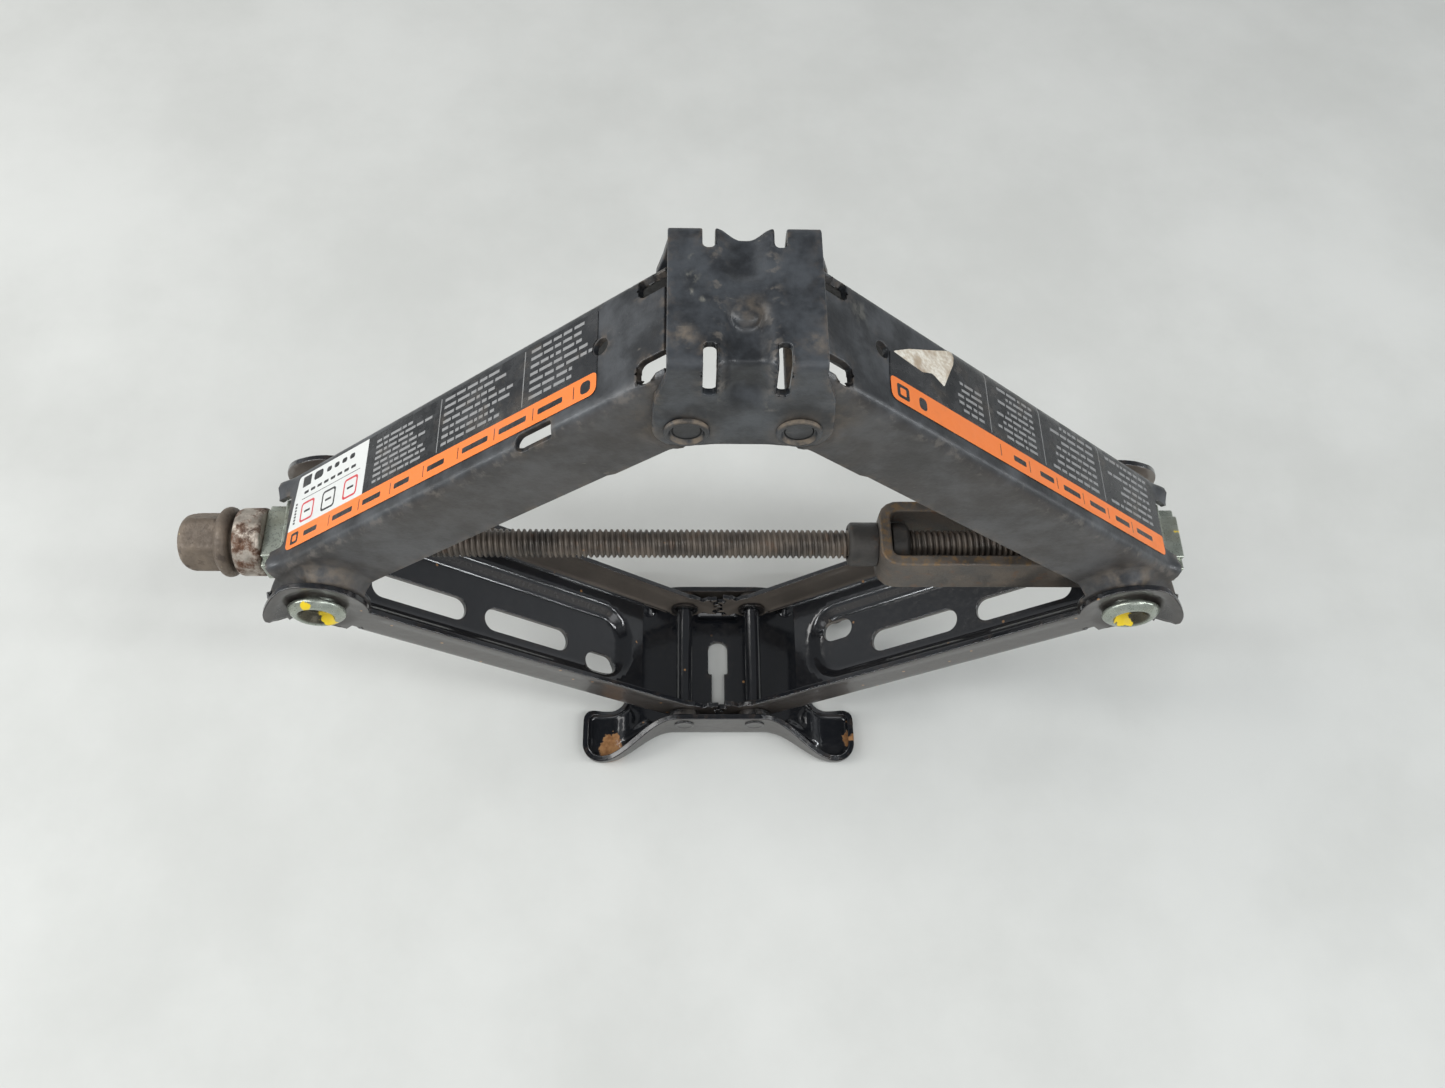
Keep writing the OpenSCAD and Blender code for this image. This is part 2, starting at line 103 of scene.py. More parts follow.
def box(x0, y0, x1, y1, corner=0.0):
    """A rectangle, with round corners if a corner radius is given."""
    if not corner:
        return [(x0, y0), (x1, y0), (x1, y1), (x0, y1)]
    return (arc(x1 - corner, y0 + corner, corner, -90, 0, 8) + arc(x1 - corner, y1 - corner, corner, 0, 90, 8)
            + arc(x0 + corner, y1 - corner, corner, 90, 180, 8)
            + arc(x0 + corner, y0 + corner, corner, 180, 270, 8))


def corner_curve(start, corner, end, steps):
    """Points on the curve that takes the place of a sharp corner."""
    points = []
    for k in range(steps + 1):
        s = k / steps
        p = start * (1 - s) ** 2 + corner * 2 * s * (1 - s) + end * s ** 2
        points.append((p.x, p.y))
    return points


def rounded(corners, steps=8):
    """A closed outline from (x, y, radius) corners."""
    points = []
    count = len(corners)
    for i, (x, y, radius) in enumerate(corners):
        here = Vector((x, y))
        before = (Vector(corners[i - 1][:2]) - here).normalized()
        after = (Vector(corners[(i + 1) % count][:2]) - here).normalized()
        half = before.angle(after) / 2
        if radius < 0.01 or half > math.radians(89):
            points.append((x, y))
            continue
        reach = radius / math.tan(half)
        points += corner_curve(here + before * reach, here, here + after * reach, steps)
    return points


def mirrored(outline, side):
    """The same outline on the other side of the middle line, where side is -1."""
    return [(x, side * y) for x, y in outline]


def slot(x0, x1, y, width):
    r = width / 2
    return arc(x1 - r, y, r, -90, 90, 12) + arc(x0 + r, y, r, 90, 270, 12)


def moved(points, x=0.0, y=0.0, turn=0.0):
    c, s = math.cos(math.radians(turn)), math.sin(math.radians(turn))
    return [(x + c * px - s * py, y + s * px + c * py) for px, py in points]


def gear(centre, first_angle, teeth):
    """Outlines of a toothed sector: the sector itself and each tooth."""
    root, tip = GEAR_RADIUS - TOOTH_DOWN, GEAR_RADIUS + TOOTH_UP
    foot, shoulder, crest = 1.65, 0.62, 0.3         # half widths of a tooth
    start = first_angle - TOOTH_PITCH / 2
    end = first_angle + (teeth - 0.6) * TOOTH_PITCH
    tooth = [(root - 1, -foot), (tip - 0.3, -shoulder), (tip, -crest), (tip, crest), (tip - 0.3, shoulder),
             (root - 1, foot)]
    return [[(centre, 0)] + arc(centre, 0, root, start, end)] + [
        moved(tooth, centre, 0, first_angle + k * TOOTH_PITCH) for k in range(teeth)]


def dense(outline, spacing):
    """The same outline with its long edges divided."""
    points = []
    for (ax, ay), (bx, by) in zip(outline, outline[1:] + outline[:1]):
        parts = max(1, round(math.hypot(bx - ax, by - ay) / spacing))
        points += [(ax + (bx - ax) * k / parts, ay + (by - ay) * k / parts) for k in range(parts)]
    return points


# ---------------------------------------------------------------- small maths on arrays
def smooth(low, high, value):
    """0 at low, 1 at high, with an even slope between."""
    s = np.clip((np.asarray(value, float) - low) / (high - low), 0, 1)
    return s * s * (3 - 2 * s)


def bell(value, centre, width):
    return np.exp(-(((np.asarray(value, float) - centre) / width) ** 2))


def inside(points, outline):
    """Which points lie in a closed outline."""
    x, y = points[:, 0], points[:, 1]
    hit = np.zeros(len(points), bool)
    for (ax, ay), (bx, by) in zip(outline, outline[1:] + outline[:1]):
        if ay != by:
            hit ^= ((ay > y) != (by > y)) & (x < ax + (y - ay) * (bx - ax) / (by - ay))
    return hit


def within(points, adds, cuts):
    """Which points lie in the sheet: in one of the added outlines and in none that is cut."""
    hit = np.zeros(len(points), bool)
    for outline in adds:
        hit |= inside(points, outline)
    for outline in cuts:
        hit &= ~inside(points, outline)
    return hit


def distance(points, segments):
    """Distance from each point to the nearest of the segments."""
    best = np.full(len(points), 1e9)
    a, b = segments[:, 0], segments[:, 1]
    for k in range(0, len(points), 500):
        p = points[k:k + 500, None, :]
        ab = (b - a)[None]
        s = np.clip(((p - a) * ab).sum(2) / np.maximum((ab * ab).sum(2), 1e-12), 0, 1)
        best[k:k + 500] = np.linalg.norm(p - (a + s[..., None] * ab), axis=2).min(1)
    return best


# ---------------------------------------------------------------- meshes
def new_object(name, vertices, faces, materials=(), smooth_shade=True):
    mesh = bpy.data.meshes.new(name)
    mesh.from_pydata([tuple(map(float, v)) for v in vertices], [], [tuple(map(int, f)) for f in faces])
    for m in materials:
        mesh.materials.append(m)
    mesh.polygons.foreach_set("use_smooth", [smooth_shade] * len(mesh.polygons))
    mesh.update()
    made = bpy.data.objects.new(name, mesh)
    bpy.context.scene.collection.objects.link(made)
    return made


def modifier(piece, kind, **settings):
    made = piece.modifiers.new(kind.lower(), kind)
    for key, value in settings.items():
        setattr(made, key, value)
    return made


def soften(piece, width, angle=35, segments=2):
    """Rounds the sharp edges of a piece."""
    modifier(piece, "BEVEL", width=width, segments=segments, limit_method="ANGLE",
             angle_limit=math.radians(angle), use_clamp_overlap=False, harden_normals=True)


def settle(piece, place):
    """Applies the modifiers and moves the mesh from its own millimetres to its place in metres."""
    bpy.context.view_layer.update()
    graph = bpy.context.evaluated_depsgraph_get()
    mesh = bpy.data.meshes.new_from_object(piece.evaluated_get(graph), preserve_all_data_layers=True,
                                           depsgraph=graph)
    piece.modifiers.clear()
    old = piece.data
    piece.data = mesh
    bpy.data.meshes.remove(old)
    mesh.name = piece.name
    mesh.transform(place)
    if place.determinant() < 0:
        mesh.flip_normals()
    mesh.update()
    if "facing" in mesh.attributes:
        facing = np.empty(len(mesh.vertices) * 3, np.float32)
        mesh.attributes["facing"].data.foreach_get("vector", facing)
        facing = unit(facing.reshape(-1, 3) @ np.array(place.to_3x3()).T)
        mesh.attributes.remove(mesh.attributes["facing"])
        mesh.normals_split_custom_set_from_vertices([tuple(map(float, f)) for f in facing])
    return piece


def placing(origin, along, up):
    """Matrix from a piece's own millimetres (along, y, up) to metres in the frame."""
    columns = Matrix((along, (0, 1, 0), up)).transposed().to_4x4()
    return Matrix.Translation(Vector(origin) * MM) @ Matrix.Scale(MM, 4) @ columns


def lower_place(side):
    c, s = math.cos(ARM_ANGLE), math.sin(ARM_ANGLE)
    return placing((side * BASE_PIVOT.x, 0, BASE_PIVOT.z), (side * c, 0, s), (-side * s, 0, c))


def upper_place(side):
    c, s = math.cos(ARM_ANGLE), math.sin(ARM_ANGLE)
    return placing((side * SIDE_PIVOT.x, 0, SIDE_PIVOT.z), (-side * c, 0, s), (side * s, 0, c))


def at(x, y, z):
    return Matrix.Translation(Vector((x, y, z)) * MM) @ Matrix.Scale(MM, 4)


def grid_points(adds, cuts, segments, spacing, rows):
    """Points inside a sheet on the given rows, none too near an edge."""
    lows = [min(p[0] for p in o) for o in adds]
    highs = [max(p[0] for p in o) for o in adds]
    points = []
    for k, v in enumerate(rows):
        u = min(lows) + spacing * (0.5 if k % 2 else 0.0)
        while u < max(highs):
            points.append((u, v))
            u += spacing
    points = np.array(points, float)
    points = points[within(points, adds, cuts)]
    return points[distance(points, segments) > 0.42 * spacing]


def triangles(outlines, adds, cuts, spacing, rows):
    """A flat triangle mesh of adds without cuts, with every outline among its edges."""
    corners, edges = [], []
    for outline in outlines:
        first = len(corners)
        corners += outline
        edges += [(first + k, first + (k + 1) % len(outline)) for k in range(len(outline))]
    lines = np.array([[corners[a], corners[b]] for a, b in edges], float)
    inner = grid_points(adds, cuts, lines, spacing, rows)
    made = delaunay_2d_cdt([Vector(p) for p in corners] + [Vector(p) for p in inner], edges, [], 0, 1e-4)
    flat = np.array([tuple(v) for v in made[0]], float)
    faces = np.array([f for f in made[2] if len(f) == 3])
    return flat, faces[within(flat[faces].mean(1), adds, cuts)]


def sheet(name, adds, cuts, shape, thickness, materials, spacing, rows, grow, edge, regions=(), plain=None):
    """A pressed sheet. Its flat blank is the union of adds without cuts; shape(u, v) folds it.
    grow is the side that the thickness goes to: -1 behind the face, +1 in front of it.
    regions are (outlines, material number) pairs that are printed on the blank in turn.
    plain(u, v), if given, folds it without its relief: the thickness is then square to that."""
    adds = [dense(o, spacing) for o in adds]
    cuts = [dense(o, spacing) for o in cuts]
    outlines = adds + cuts + [dense(o, spacing) for group, _ in regions for o in group]
    flat, faces = triangles(outlines, adds, cuts, spacing, rows)
    number = np.zeros(len(faces), int)
    for group, index in regions:
        number[within(flat[faces].mean(1), group, [])] = index
    used = np.unique(faces)
    renumber = np.full(len(flat), -1)
    renumber[used] = np.arange(len(used))
    flat, faces = flat[used], renumber[faces]
    normals = corner_normals((plain or shape)(flat[:, 0], flat[:, 1]), faces)
    ends = shape(flat[:, 0], flat[:, 1])
    return thicken(name, ends, faces, normals, thickness, grow, edge, materials, number)


def rim_edges(faces):
    """The free edges of a triangle mesh, each with the sheet on its left."""
    sides = np.concatenate([faces[:, [0, 1]], faces[:, [1, 2]], faces[:, [2, 0]]])
    known = {tuple(e) for e in sides}
    return np.array([e for e in sides if (e[1], e[0]) not in known])


def corner_normals(points, faces):
    """Normals of a triangle mesh at its points, each face weighted by its angle there."""
    total = np.zeros_like(points)
    for k in range(3):
        here = points[faces[:, k]]
        one, two = points[faces[:, (k + 1) % 3]] - here, points[faces[:, (k + 2) % 3]] - here
        normal = np.cross(one, two)
        size = np.linalg.norm(normal, axis=1)
        angle = np.arctan2(size, (one * two).sum(1))
        np.add.at(total, faces[:, k], normal * (angle / np.maximum(size, 1e-9))[:, None])
    return unit(total)


def unit(vectors):
    return vectors / np.maximum(np.linalg.norm(vectors, axis=1), 1e-9)[:, None]


def thicken(name, ends, faces, normals, thickness, grow, edge, materials, number=None):
    """Gives a folded blank its thickness, and rounds its free edges to a radius of edge."""
    rim = rim_edges(faces)
    on_rim = np.unique(rim)
    beside = np.zeros_like(ends)
    run = unit(ends[rim[:, 1]] - ends[rim[:, 0]])
    for k in (0, 1):
        np.add.at(beside, rim[:, k], np.cross(run, normals[rim[:, k]]))
    beside = unit(beside)
    front = ends - beside * edge
    behind = normals * grow
    back = front + behind * thickness
    rings, facing = [], [-grow * corner_normals(front, faces), grow * corner_normals(back, faces)]
    for start, sign, angles, out_of in ((front, 1, (45, 90), facing[0]), (back, -1, (90, 45), facing[1])):
        for angle in angles if edge else ():
            sine, cosine = math.sin(math.radians(angle)), math.cos(math.radians(angle))
            rings.append((start + (beside * sine + sign * behind * (1 - cosine)) * edge)[on_rim])
            facing.append((beside * sine + out_of * cosine)[on_rim])
    count = len(ends)
    place = {v: k for k, v in enumerate(on_rim)}
    layers = [{v: v for v in on_rim}]
    layers += [{v: 2 * count + k * len(on_rim) + place[v] for v in on_rim} for k in range(len(rings))]
    layers.append({v: count + v for v in on_rim})
    made = [tuple(f) for f in faces] + [(f[2] + count, f[1] + count, f[0] + count) for f in faces]
    for one, two in zip(layers, layers[1:]):
        made += [(one[b], one[a], two[a], two[b]) for a, b in rim]
    if grow > 0:
        made = [tuple(reversed(f)) for f in made]
    piece = new_object(name, np.concatenate([front, back] + rings), made, materials)
    if number is not None:
        group = [int(n) for n in number] + [0] * (len(made) - len(number))
        piece.data.polygons.foreach_set("material_index", group)
    wear = np.exp(-distance(ends, ends[rim]) / 1.6)
    rubbed = np.concatenate([wear, wear] + [np.ones(len(on_rim))] * len(rings))
    values = piece.data.attributes.new("edge_wear", "FLOAT", "POINT").data
    values.foreach_set("value", rubbed.astype(np.float32))
    piece.data.attributes.new("facing", "FLOAT_VECTOR", "POINT").data.foreach_set(
        "vector", unit(np.concatenate(facing)).ravel().astype(np.float32))
    return piece


class Channel:
    """A sheet folded into a channel. u runs along it and v round it, from the middle of its web.
    hang is 1 where the flanges hang below the web, and -1 where they stand above it."""

    def __init__(self, half, bend, web, hang):
        self.flat, self.bend, self.web, self.hang = half - bend, bend, web, hang
        self.half = half
        self.start = self.flat + bend * math.pi / 2

    def v(self, n):
        """Place round the sheet of a height n on a flange."""
        return self.start - self.bend + self.hang * (self.web - n)

    def n(self, v):
        return self.web - self.hang * (np.abs(v) - self.start + self.bend)

    def on(self, side, outline):
        """An outline drawn on a flange, from (u, n) to (u, v)."""
        return [(t, side * self.v(n)) for t, n in outline]

    def rows(self, lip, spacing):
        """Rows for the grid of points: close together round the bends."""
        bend = list(np.linspace(self.flat, self.start, 7))
        web = list(np.arange(0, self.flat - spacing / 3, spacing))
        flange = list(np.arange(self.start + spacing, self.v(lip), spacing))
        half = web + bend + flange
        return sorted({-x for x in half} | set(half))

    def place(self, u, v, bulge=0.0, straight=False):
        """Points of the outer face, pushed out by bulge. A straight part has no bend."""
        side, reach = np.sign(v), np.abs(v)
        turn = np.clip((reach - self.flat) / self.bend, 0, math.pi / 2)
        turn = np.where(straight, math.pi / 2, turn)
        y = np.minimum(reach, self.flat) + self.bend * np.sin(turn)
        drop = self.bend * (1 - np.cos(turn)) + np.maximum(reach - self.start, 0)
        y = np.where(straight, self.half, y)
        drop = np.where(straight, self.bend + reach - self.start, drop)
        y = side * (y + bulge * np.sin(turn))
        n = self.web - self.hang * drop + self.hang * bulge * np.cos(turn)
        return np.stack([u, y, n], axis=1)


def face_outwards(piece, weld=False):
    """Turns every face outwards, after making double points one where weld is set."""
    edit = bmesh.new()
    edit.from_mesh(piece.data)
    if weld:
        bmesh.ops.remove_doubles(edit, verts=edit.verts, dist=1e-4)
    bmesh.ops.recalc_face_normals(edit, faces=edit.faces)
    edit.to_mesh(piece.data)
    edit.free()
    return piece


def lathe(name, profile, materials, axis="x", segments=48, hexagon=None, turn=0.0):
    """A turned piece: profile is (along, radius) points. hexagon is the distance across flats, if any."""
    vertices, faces = [], []
    count = len(profile)
    for k in range(segments):
        angle = 2 * math.pi * k / segments
        flat = 1e9
        if hexagon:
            sector = (angle - math.radians(turn)) % (math.pi / 3) - math.pi / 6
            flat = hexagon / 2 / math.cos(sector)
        for along, radius in profile:
            r = min(radius, flat)
            a, b = r * math.cos(angle), r * math.sin(angle)
            vertices.append((along, a, b) if axis == "x" else (a, along, b))
    for k in range(segments):
        one, two = k * count, ((k + 1) % segments) * count
        faces += [(one + i, one + i + 1, two + i + 1, two + i) for i in range(count - 1)]
    return face_outwards(new_object(name, vertices, faces, materials), weld=True)


def turned(profile, radius=0.5, steps=3):
    """A lathe profile with its inner corners rounded."""
    points = [profile[0]]
    for a, p, b in zip(profile, profile[1:], profile[2:]):
        here = Vector(p)
        before, after = Vector(a) - here, Vector(b) - here
        r = min(radius, before.length * 0.45, after.length * 0.45)
        points += corner_curve(here + before.normalized() * r, here, here + after.normalized() * r, steps)
    return points + [profile[-1]]


def prism(name, outline, y0, y1, materials):
    """A solid from an outline in (x, z), between two places along y."""
    count = len(outline)
    vertices = [(x, y0, z) for x, z in outline] + [(x, y1, z) for x, z in outline]
    faces = [tuple(range(count)), tuple(range(2 * count - 1, count - 1, -1))]
    faces += [(k, k + count, (k + 1) % count + count, (k + 1) % count) for k in range(count)]
    return face_outwards(new_object(name, vertices, faces, materials, smooth_shade=False))


def cut(piece, cutter):
    """Takes the cutter's shape out of the piece."""
    modifier(piece, "BOOLEAN", operation="DIFFERENCE", object=cutter, solver="EXACT")
    bpy.context.view_layer.update()
    graph = bpy.context.evaluated_depsgraph_get()
    mesh = bpy.data.meshes.new_from_object(piece.evaluated_get(graph))
    piece.modifiers.clear()
    piece.data = mesh
    bpy.data.objects.remove(cutter)
    return piece


def join(name, pieces):
    """One object from several."""
    target = pieces[0]
    with bpy.context.temp_override(active_object=target, selected_editable_objects=pieces,
                                   selected_objects=pieces, object=target):
        bpy.ops.object.join()
    target.name = name
    target.data.name = name
    return target


def hand_over(piece, place, body, node):
    """Puts a finished piece in its place, on its CAD body, where it stands for its CAD node."""
    settle(piece, place)
    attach(piece, body)
    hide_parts(node)


# ---------------------------------------------------------------- materials
class Look:
    """One material, built up from noise, the piece's own attributes and mixes of them."""

    def __init__(self, name):
        self.material = bpy.data.materials.new(name)
        self.material.use_nodes = True
        self.tree = self.material.node_tree
        self.shader = self.tree.nodes["Principled BSDF"]
        self.coordinates = self.tree.nodes.new("ShaderNodeTexCoord")

    def put(self, kind, inputs=(), **settings):
        made = self.tree.nodes.new(kind)
        for key, value in settings.items():
            setattr(made, key, value)
        for key, value in dict(inputs).items():
            self.join(value, made.inputs[key])
        return made

    def join(self, value, socket):
        if isinstance(value, bpy.types.NodeSocket):
            self.tree.links.new(value, socket)
        else:
            socket.default_value = value

    def place(self, stretch=(1, 1, 1)):
        """The point on the piece at rest, in metres, squeezed along its axes."""
        return self.put("ShaderNodeMapping", {"Vector": self.coordinates.outputs["Object"],
                                              "Scale": stretch}).outputs["Vector"]

    def noise(self, scale, low=0.35, high=0.65, detail=5, rough=0.6, stretch=(1, 1, 1)):
        """Cloudy noise with scale cells per metre, spread to 0 below low and 1 above high."""
        made = self.put("ShaderNodeTexNoise", {"Vector": self.place(stretch), "Scale": scale,
                                               "Detail": detail, "Roughness": rough})
        return self.range(made.outputs["Fac"], low, high)

    def specks(self, scale, share, size=0.25, stretch=(1, 1, 1)):
        """Small spots: in about that share of the cells of a grid of scale cells per metre."""
        cells = self.put("ShaderNodeTexVoronoi", {"Vector": self.place(stretch), "Scale": scale,
                                                  "Randomness": 1.0})
        lit = self.range(cells.outputs["Color"], share, share - 0.02)
        return self.times(lit, self.range(cells.outputs["Distance"], size, size * 0.55))

    def range(self, value, low, high, to_low=0.0, to_high=1.0):
        made = self.put("ShaderNodeMapRange", {"Value": value, "From Min": low, "From Max": high,
                                               "To Min": to_low, "To Max": to_high},
                        interpolation_type="SMOOTHSTEP")
        return made.outputs["Result"]

    def maths(self, operation, *values):
        made = self.put("ShaderNodeMath", operation=operation)
        for k, value in enumerate(values):
            self.join(value, made.inputs[k])
        return made.outputs[0]

    def times(self, *values):
        result = values[0]
        for value in values[1:]:
            result = self.maths("MULTIPLY", result, value)
        return result

    def most(self, *values):
        result = values[0]
        for value in values[1:]:
            result = self.maths("MAXIMUM", result, value)
        return result

    def attribute(self, name):
        return self.put("ShaderNodeAttribute", attribute_name=name).outputs["Fac"]

    def normal(self, axis):
        """One part of the piece's own normal at rest: 0, 1 or 2 for x, y or z."""
        parts = self.put("ShaderNodeSeparateXYZ", {"Vector": self.coordinates.outputs["Normal"]})
        return parts.outputs[axis]

    def coordinate(self, axis):
        """One part of the point on the piece at rest, in metres: 0, 1 or 2 for x, y or z."""
        parts = self.put("ShaderNodeSeparateXYZ", {"Vector": self.coordinates.outputs["Object"]})
        return parts.outputs[axis]

    def spot(self, centre, radius, soft=0.5):
        """1 near a place on the piece, in millimetres, falling to 0 at its radius."""
        away = self.put("ShaderNodeVectorMath", {0: self.coordinates.outputs["Object"],
                                                 1: tuple(Vector(centre) * MM)}, operation="DISTANCE")
        return self.range(away.outputs["Value"], radius * MM, radius * (1 - soft) * MM)

    def mix(self, share, first, second):
        made = self.put("ShaderNodeMix", data_type="RGBA")
        self.join(share, made.inputs[0])
        for value, socket in ((first, made.inputs[6]), (second, made.inputs[7])):
            self.join(value if isinstance(value, bpy.types.NodeSocket) else (*value, 1.0), socket)
        return made.outputs[2]

    def blend(self, share, first, second):
        """A number between two others."""
        made = self.put("ShaderNodeMix", data_type="FLOAT")
        self.join(share, made.inputs[0])
        self.join(first, made.inputs[2])
        self.join(second, made.inputs[3])
        return made.outputs[0]

    def bump(self, height, depth_mm, before=None):
        inputs = {"Height": height, "Distance": depth_mm * MM, "Strength": 1.0}
        if before is not None:
            inputs["Normal"] = before
        return self.put("ShaderNodeBump", inputs).outputs["Normal"]

    def finish(self, colour, roughness, normal=None, metallic=0.0, **fixed):
        self.join(colour, self.shader.inputs["Base Color"])
        self.join(roughness, self.shader.inputs["Roughness"])
        self.join(metallic, self.shader.inputs["Metallic"])
        if normal is not None:
            self.join(normal, self.shader.inputs["Normal"])
        for key, value in fixed.items():
            self.shader.inputs[key.replace("_", " ")].default_value = value
        return self.material


PAINT_BLACK = (0.012, 0.0135, 0.016)
DIP_BLACK = (0.008, 0.009, 0.0115)
WORN_BLACK = (0.046, 0.050, 0.056)
DUST = (0.115, 0.093, 0.075)
PALE_DUST = (0.30, 0.26, 0.20)
# The paler rear dust is partly real dust and partly painted fill light that lightens the shaded rear side
REAR_DUST_AND_FILL_LIGHT = (0.20, 0.168, 0.138)
RUST_DARK, RUST, RUST_PALE = (0.052, 0.024, 0.013), (0.21, 0.088, 0.028), (0.40, 0.21, 0.085)
DIP_WEAR, EDGE_WEAR, BEND_WEAR = (0.07, 0.05, 0.038), (0.15, 0.115, 0.085), (0.17, 0.15, 0.13)
SCRATCH, CHIP = (0.2, 0.18, 0.15), (0.30, 0.29, 0.25)
SOIL, LEDGE_DIRT, RUSTY_GRIT = (0.185, 0.15, 0.115), (0.21, 0.165, 0.12), (0.22, 0.135, 0.06)
# The recess colour is painted shade for the recess in each journal head
YELLOW_PAINT, RECESS_SHADE = (0.83, 0.60, 0.015), (0.060, 0.050, 0.032)


def glossy_paint(name, film=0.35, rear_film_and_fill_light=0.35, rust_spots=()):
    """Thick glossy black dip paint with a film of brown dust on its upright faces; towards the rear the film
    is heavier and paler, partly real dust and partly painted fill light for the shaded rear side.
    """
    look = Look(name)
    upright = look.range(look.maths("ABSOLUTE", look.normal(1)), 0.55, 0.95)
    cloudy = look.noise(38, 0.3, 0.7)
    fine = look.noise(420, 0.4, 0.75, detail=3)
    # The rear side gets more and paler dust: partly real dust, partly painted fill light that lightens the
    # shaded rear flange
    rear = look.range(look.coordinate(1), -0.005, 0.015)
    dust = look.times(upright, look.blend(cloudy, 0.75, 1.0), look.blend(rear, film, rear_film_and_fill_light))
    dust = look.most(dust, look.times(cloudy, fine, 0.06))
    colour = look.mix(dust, DIP_BLACK, look.mix(rear, DUST, REAR_DUST_AND_FILL_LIGHT))
    speck = look.specks(230, 0.15, 0.2)
    colour = look.mix(look.times(speck, 0.8), colour, RUST_PALE)
    wear = look.times(look.attribute("edge_wear"), look.noise(260, 0.5, 0.66))
    colour = look.mix(look.times(wear, 0.3), colour, DIP_WEAR)
    rough = look.blend(dust, 0.16, 0.75)
    rough = look.blend(look.times(fine, 0.25), rough, 0.5)
    relief = look.noise(90, 0.2, 0.8, detail=2)
    for centre, radius in rust_spots:
        blot = look.range(look.maths("ADD", look.spot(centre, radius, 1.0),
                                     look.noise(95, 0.2, 0.8, detail=6)), 0.92, 1.02)
        blot = look.times(blot, look.spot(centre, radius * 1.05, 0.1))
        rusty = look.mix(look.noise(330, 0.3, 0.7), RUST, RUST_PALE)
        colour = look.mix(blot, colour, rusty)
        rough = look.blend(blot, rough, 0.9)
    normal = look.bump(relief, 0.10)
    normal = look.bump(look.maths("ADD", look.times(fine, 0.5), speck), 0.03, normal)
    return look.finish(colour, rough, normal, Specular_IOR_Level=0.5, Coat_Weight=0.5,
                       Coat_Roughness=0.09)


def satin_paint(name, film=0.28, scuffs=1.0, soil_spots=(), chips=(), ledge=0.0, worn=WORN_BLACK):
    """Satin black paint, rubbed grey, with dust on its upright faces and scratches along its bends."""
    look = Look(name)
    upright = look.range(look.maths("ABSOLUTE", look.normal(1)), 0.5, 0.95)
    cloudy = look.noise(30, 0.3, 0.7)
    fine = look.noise(520, 0.38, 0.7, detail=4)
    dust = look.times(upright, look.blend(cloudy, film * 0.6, film))
    colour = look.mix(look.noise(70, 0.35, 0.7), PAINT_BLACK, worn)
    colour = look.mix(dust, colour, DUST)
    rubbed = look.times(look.attribute("bend_wear"), look.noise(230, 0.50, 0.64, detail=9), scuffs)
    colour = look.mix(look.times(rubbed, 0.45), colour, BEND_WEAR)
    scratches = look.times(look.noise(900, 0.66, 0.72, detail=6, stretch=(0.16, 1, 0.5)),
                           look.noise(26, 0.5, 0.62), scuffs)
    colour = look.mix(look.times(scratches, 0.5), colour, SCRATCH)
    wear = look.times(look.attribute("edge_wear"), look.noise(240, 0.46, 0.64))
    colour = look.mix(look.times(wear, 0.45), colour, EDGE_WEAR)
    speck = look.specks(260, 0.045, 0.18)
    colour = look.mix(look.times(speck, 0.7), colour, PALE_DUST)
    rough = look.blend(dust, 0.36, 0.72)
    rough = look.blend(look.times(fine, 0.35), rough, 0.55)
    for centre, radius, strength in soil_spots:
        soil = look.times(look.spot(centre, radius, 0.9), look.noise(150, 0.35, 0.7, detail=7), strength)
        colour = look.mix(soil, colour, SOIL)
        rough = look.blend(soil, rough, 0.8)
    for centre, radius in chips:
        patchy = look.noise(300, 0.46, 0.64, detail=7, stretch=(1, 0.5, 1))
        chip = look.times(look.spot(centre, radius, 0.9), patchy)
        colour = look.mix(look.times(chip, 0.5), colour, CHIP)
    if ledge:
        settled = look.times(look.range(look.normal(2), 0.1, 0.7), look.noise(220, 0.3, 0.6, detail=6), ledge)
        colour = look.mix(settled, colour, LEDGE_DIRT)
        rough = look.blend(settled, rough, 0.85)
    normal = look.bump(look.noise(75, 0.2, 0.8, detail=2), 0.08)
    normal = look.bump(look.maths("ADD", fine, look.times(rubbed, 0.8)), 0.03, normal)
    return look.finish(colour, rough, normal, Specular_IOR_Level=0.5)


def grimy_steel(name, dark, brown, rough=0.55, rust=0.25, metallic=0.35, ledge=0.0):
    """Dark oiled steel with brown grime and specks of rust, and rusty grit on its upper edges."""
    look = Look(name)
    patches = look.noise(85, 0.32, 0.68, detail=7)
    fine = look.noise(700, 0.35, 0.7, detail=4)
    colour = look.mix(patches, dark, brown)
    colour = look.mix(look.times(look.noise(180, 0.56, 0.68, detail=8), rust), colour, RUST)
    speck = look.specks(420, 0.10, 0.22)
    colour = look.mix(look.times(speck, 0.55), colour, RUST_PALE)
    if ledge:
        grit = look.times(look.range(look.normal(2), 0.25, 0.75),
                          look.noise(380, 0.46, 0.62, detail=7), ledge)
        colour = look.mix(grit, colour, RUSTY_GRIT)
    roughness = look.blend(patches, rough - 0.12, rough + 0.15)
    normal = look.bump(patches, 0.12)
    normal = look.bump(look.maths("ADD", fine, speck), 0.06, normal)
    return look.finish(colour, roughness, normal, metallic=metallic)


def rusty_steel(name):
    """A sleeve of bright pitted steel under blotches of brown rust."""
    look = Look(name)
    blotches = look.noise(150, 0.45, 0.62, detail=8, rough=0.7)
    deep = look.noise(300, 0.5, 0.7, detail=6)
    bare = look.mix(look.noise(240, 0.3, 0.7), (0.28, 0.24, 0.20), (0.56, 0.50, 0.43))
    rusty = look.mix(deep, (0.13, 0.062, 0.034), RUST_DARK)
    colour = look.mix(blotches, bare, rusty)
    colour = look.mix(look.times(look.specks(380, 0.12, 0.3), 0.7), colour, (0.42, 0.36, 0.30))
    rough = look.blend(blotches, 0.42, 0.85)
    normal = look.bump(look.maths("ADD", blotches, look.times(deep, 0.5)), 0.14)
    return look.finish(colour, rough, normal, metallic=look.blend(blotches, 0.7, 0.05))


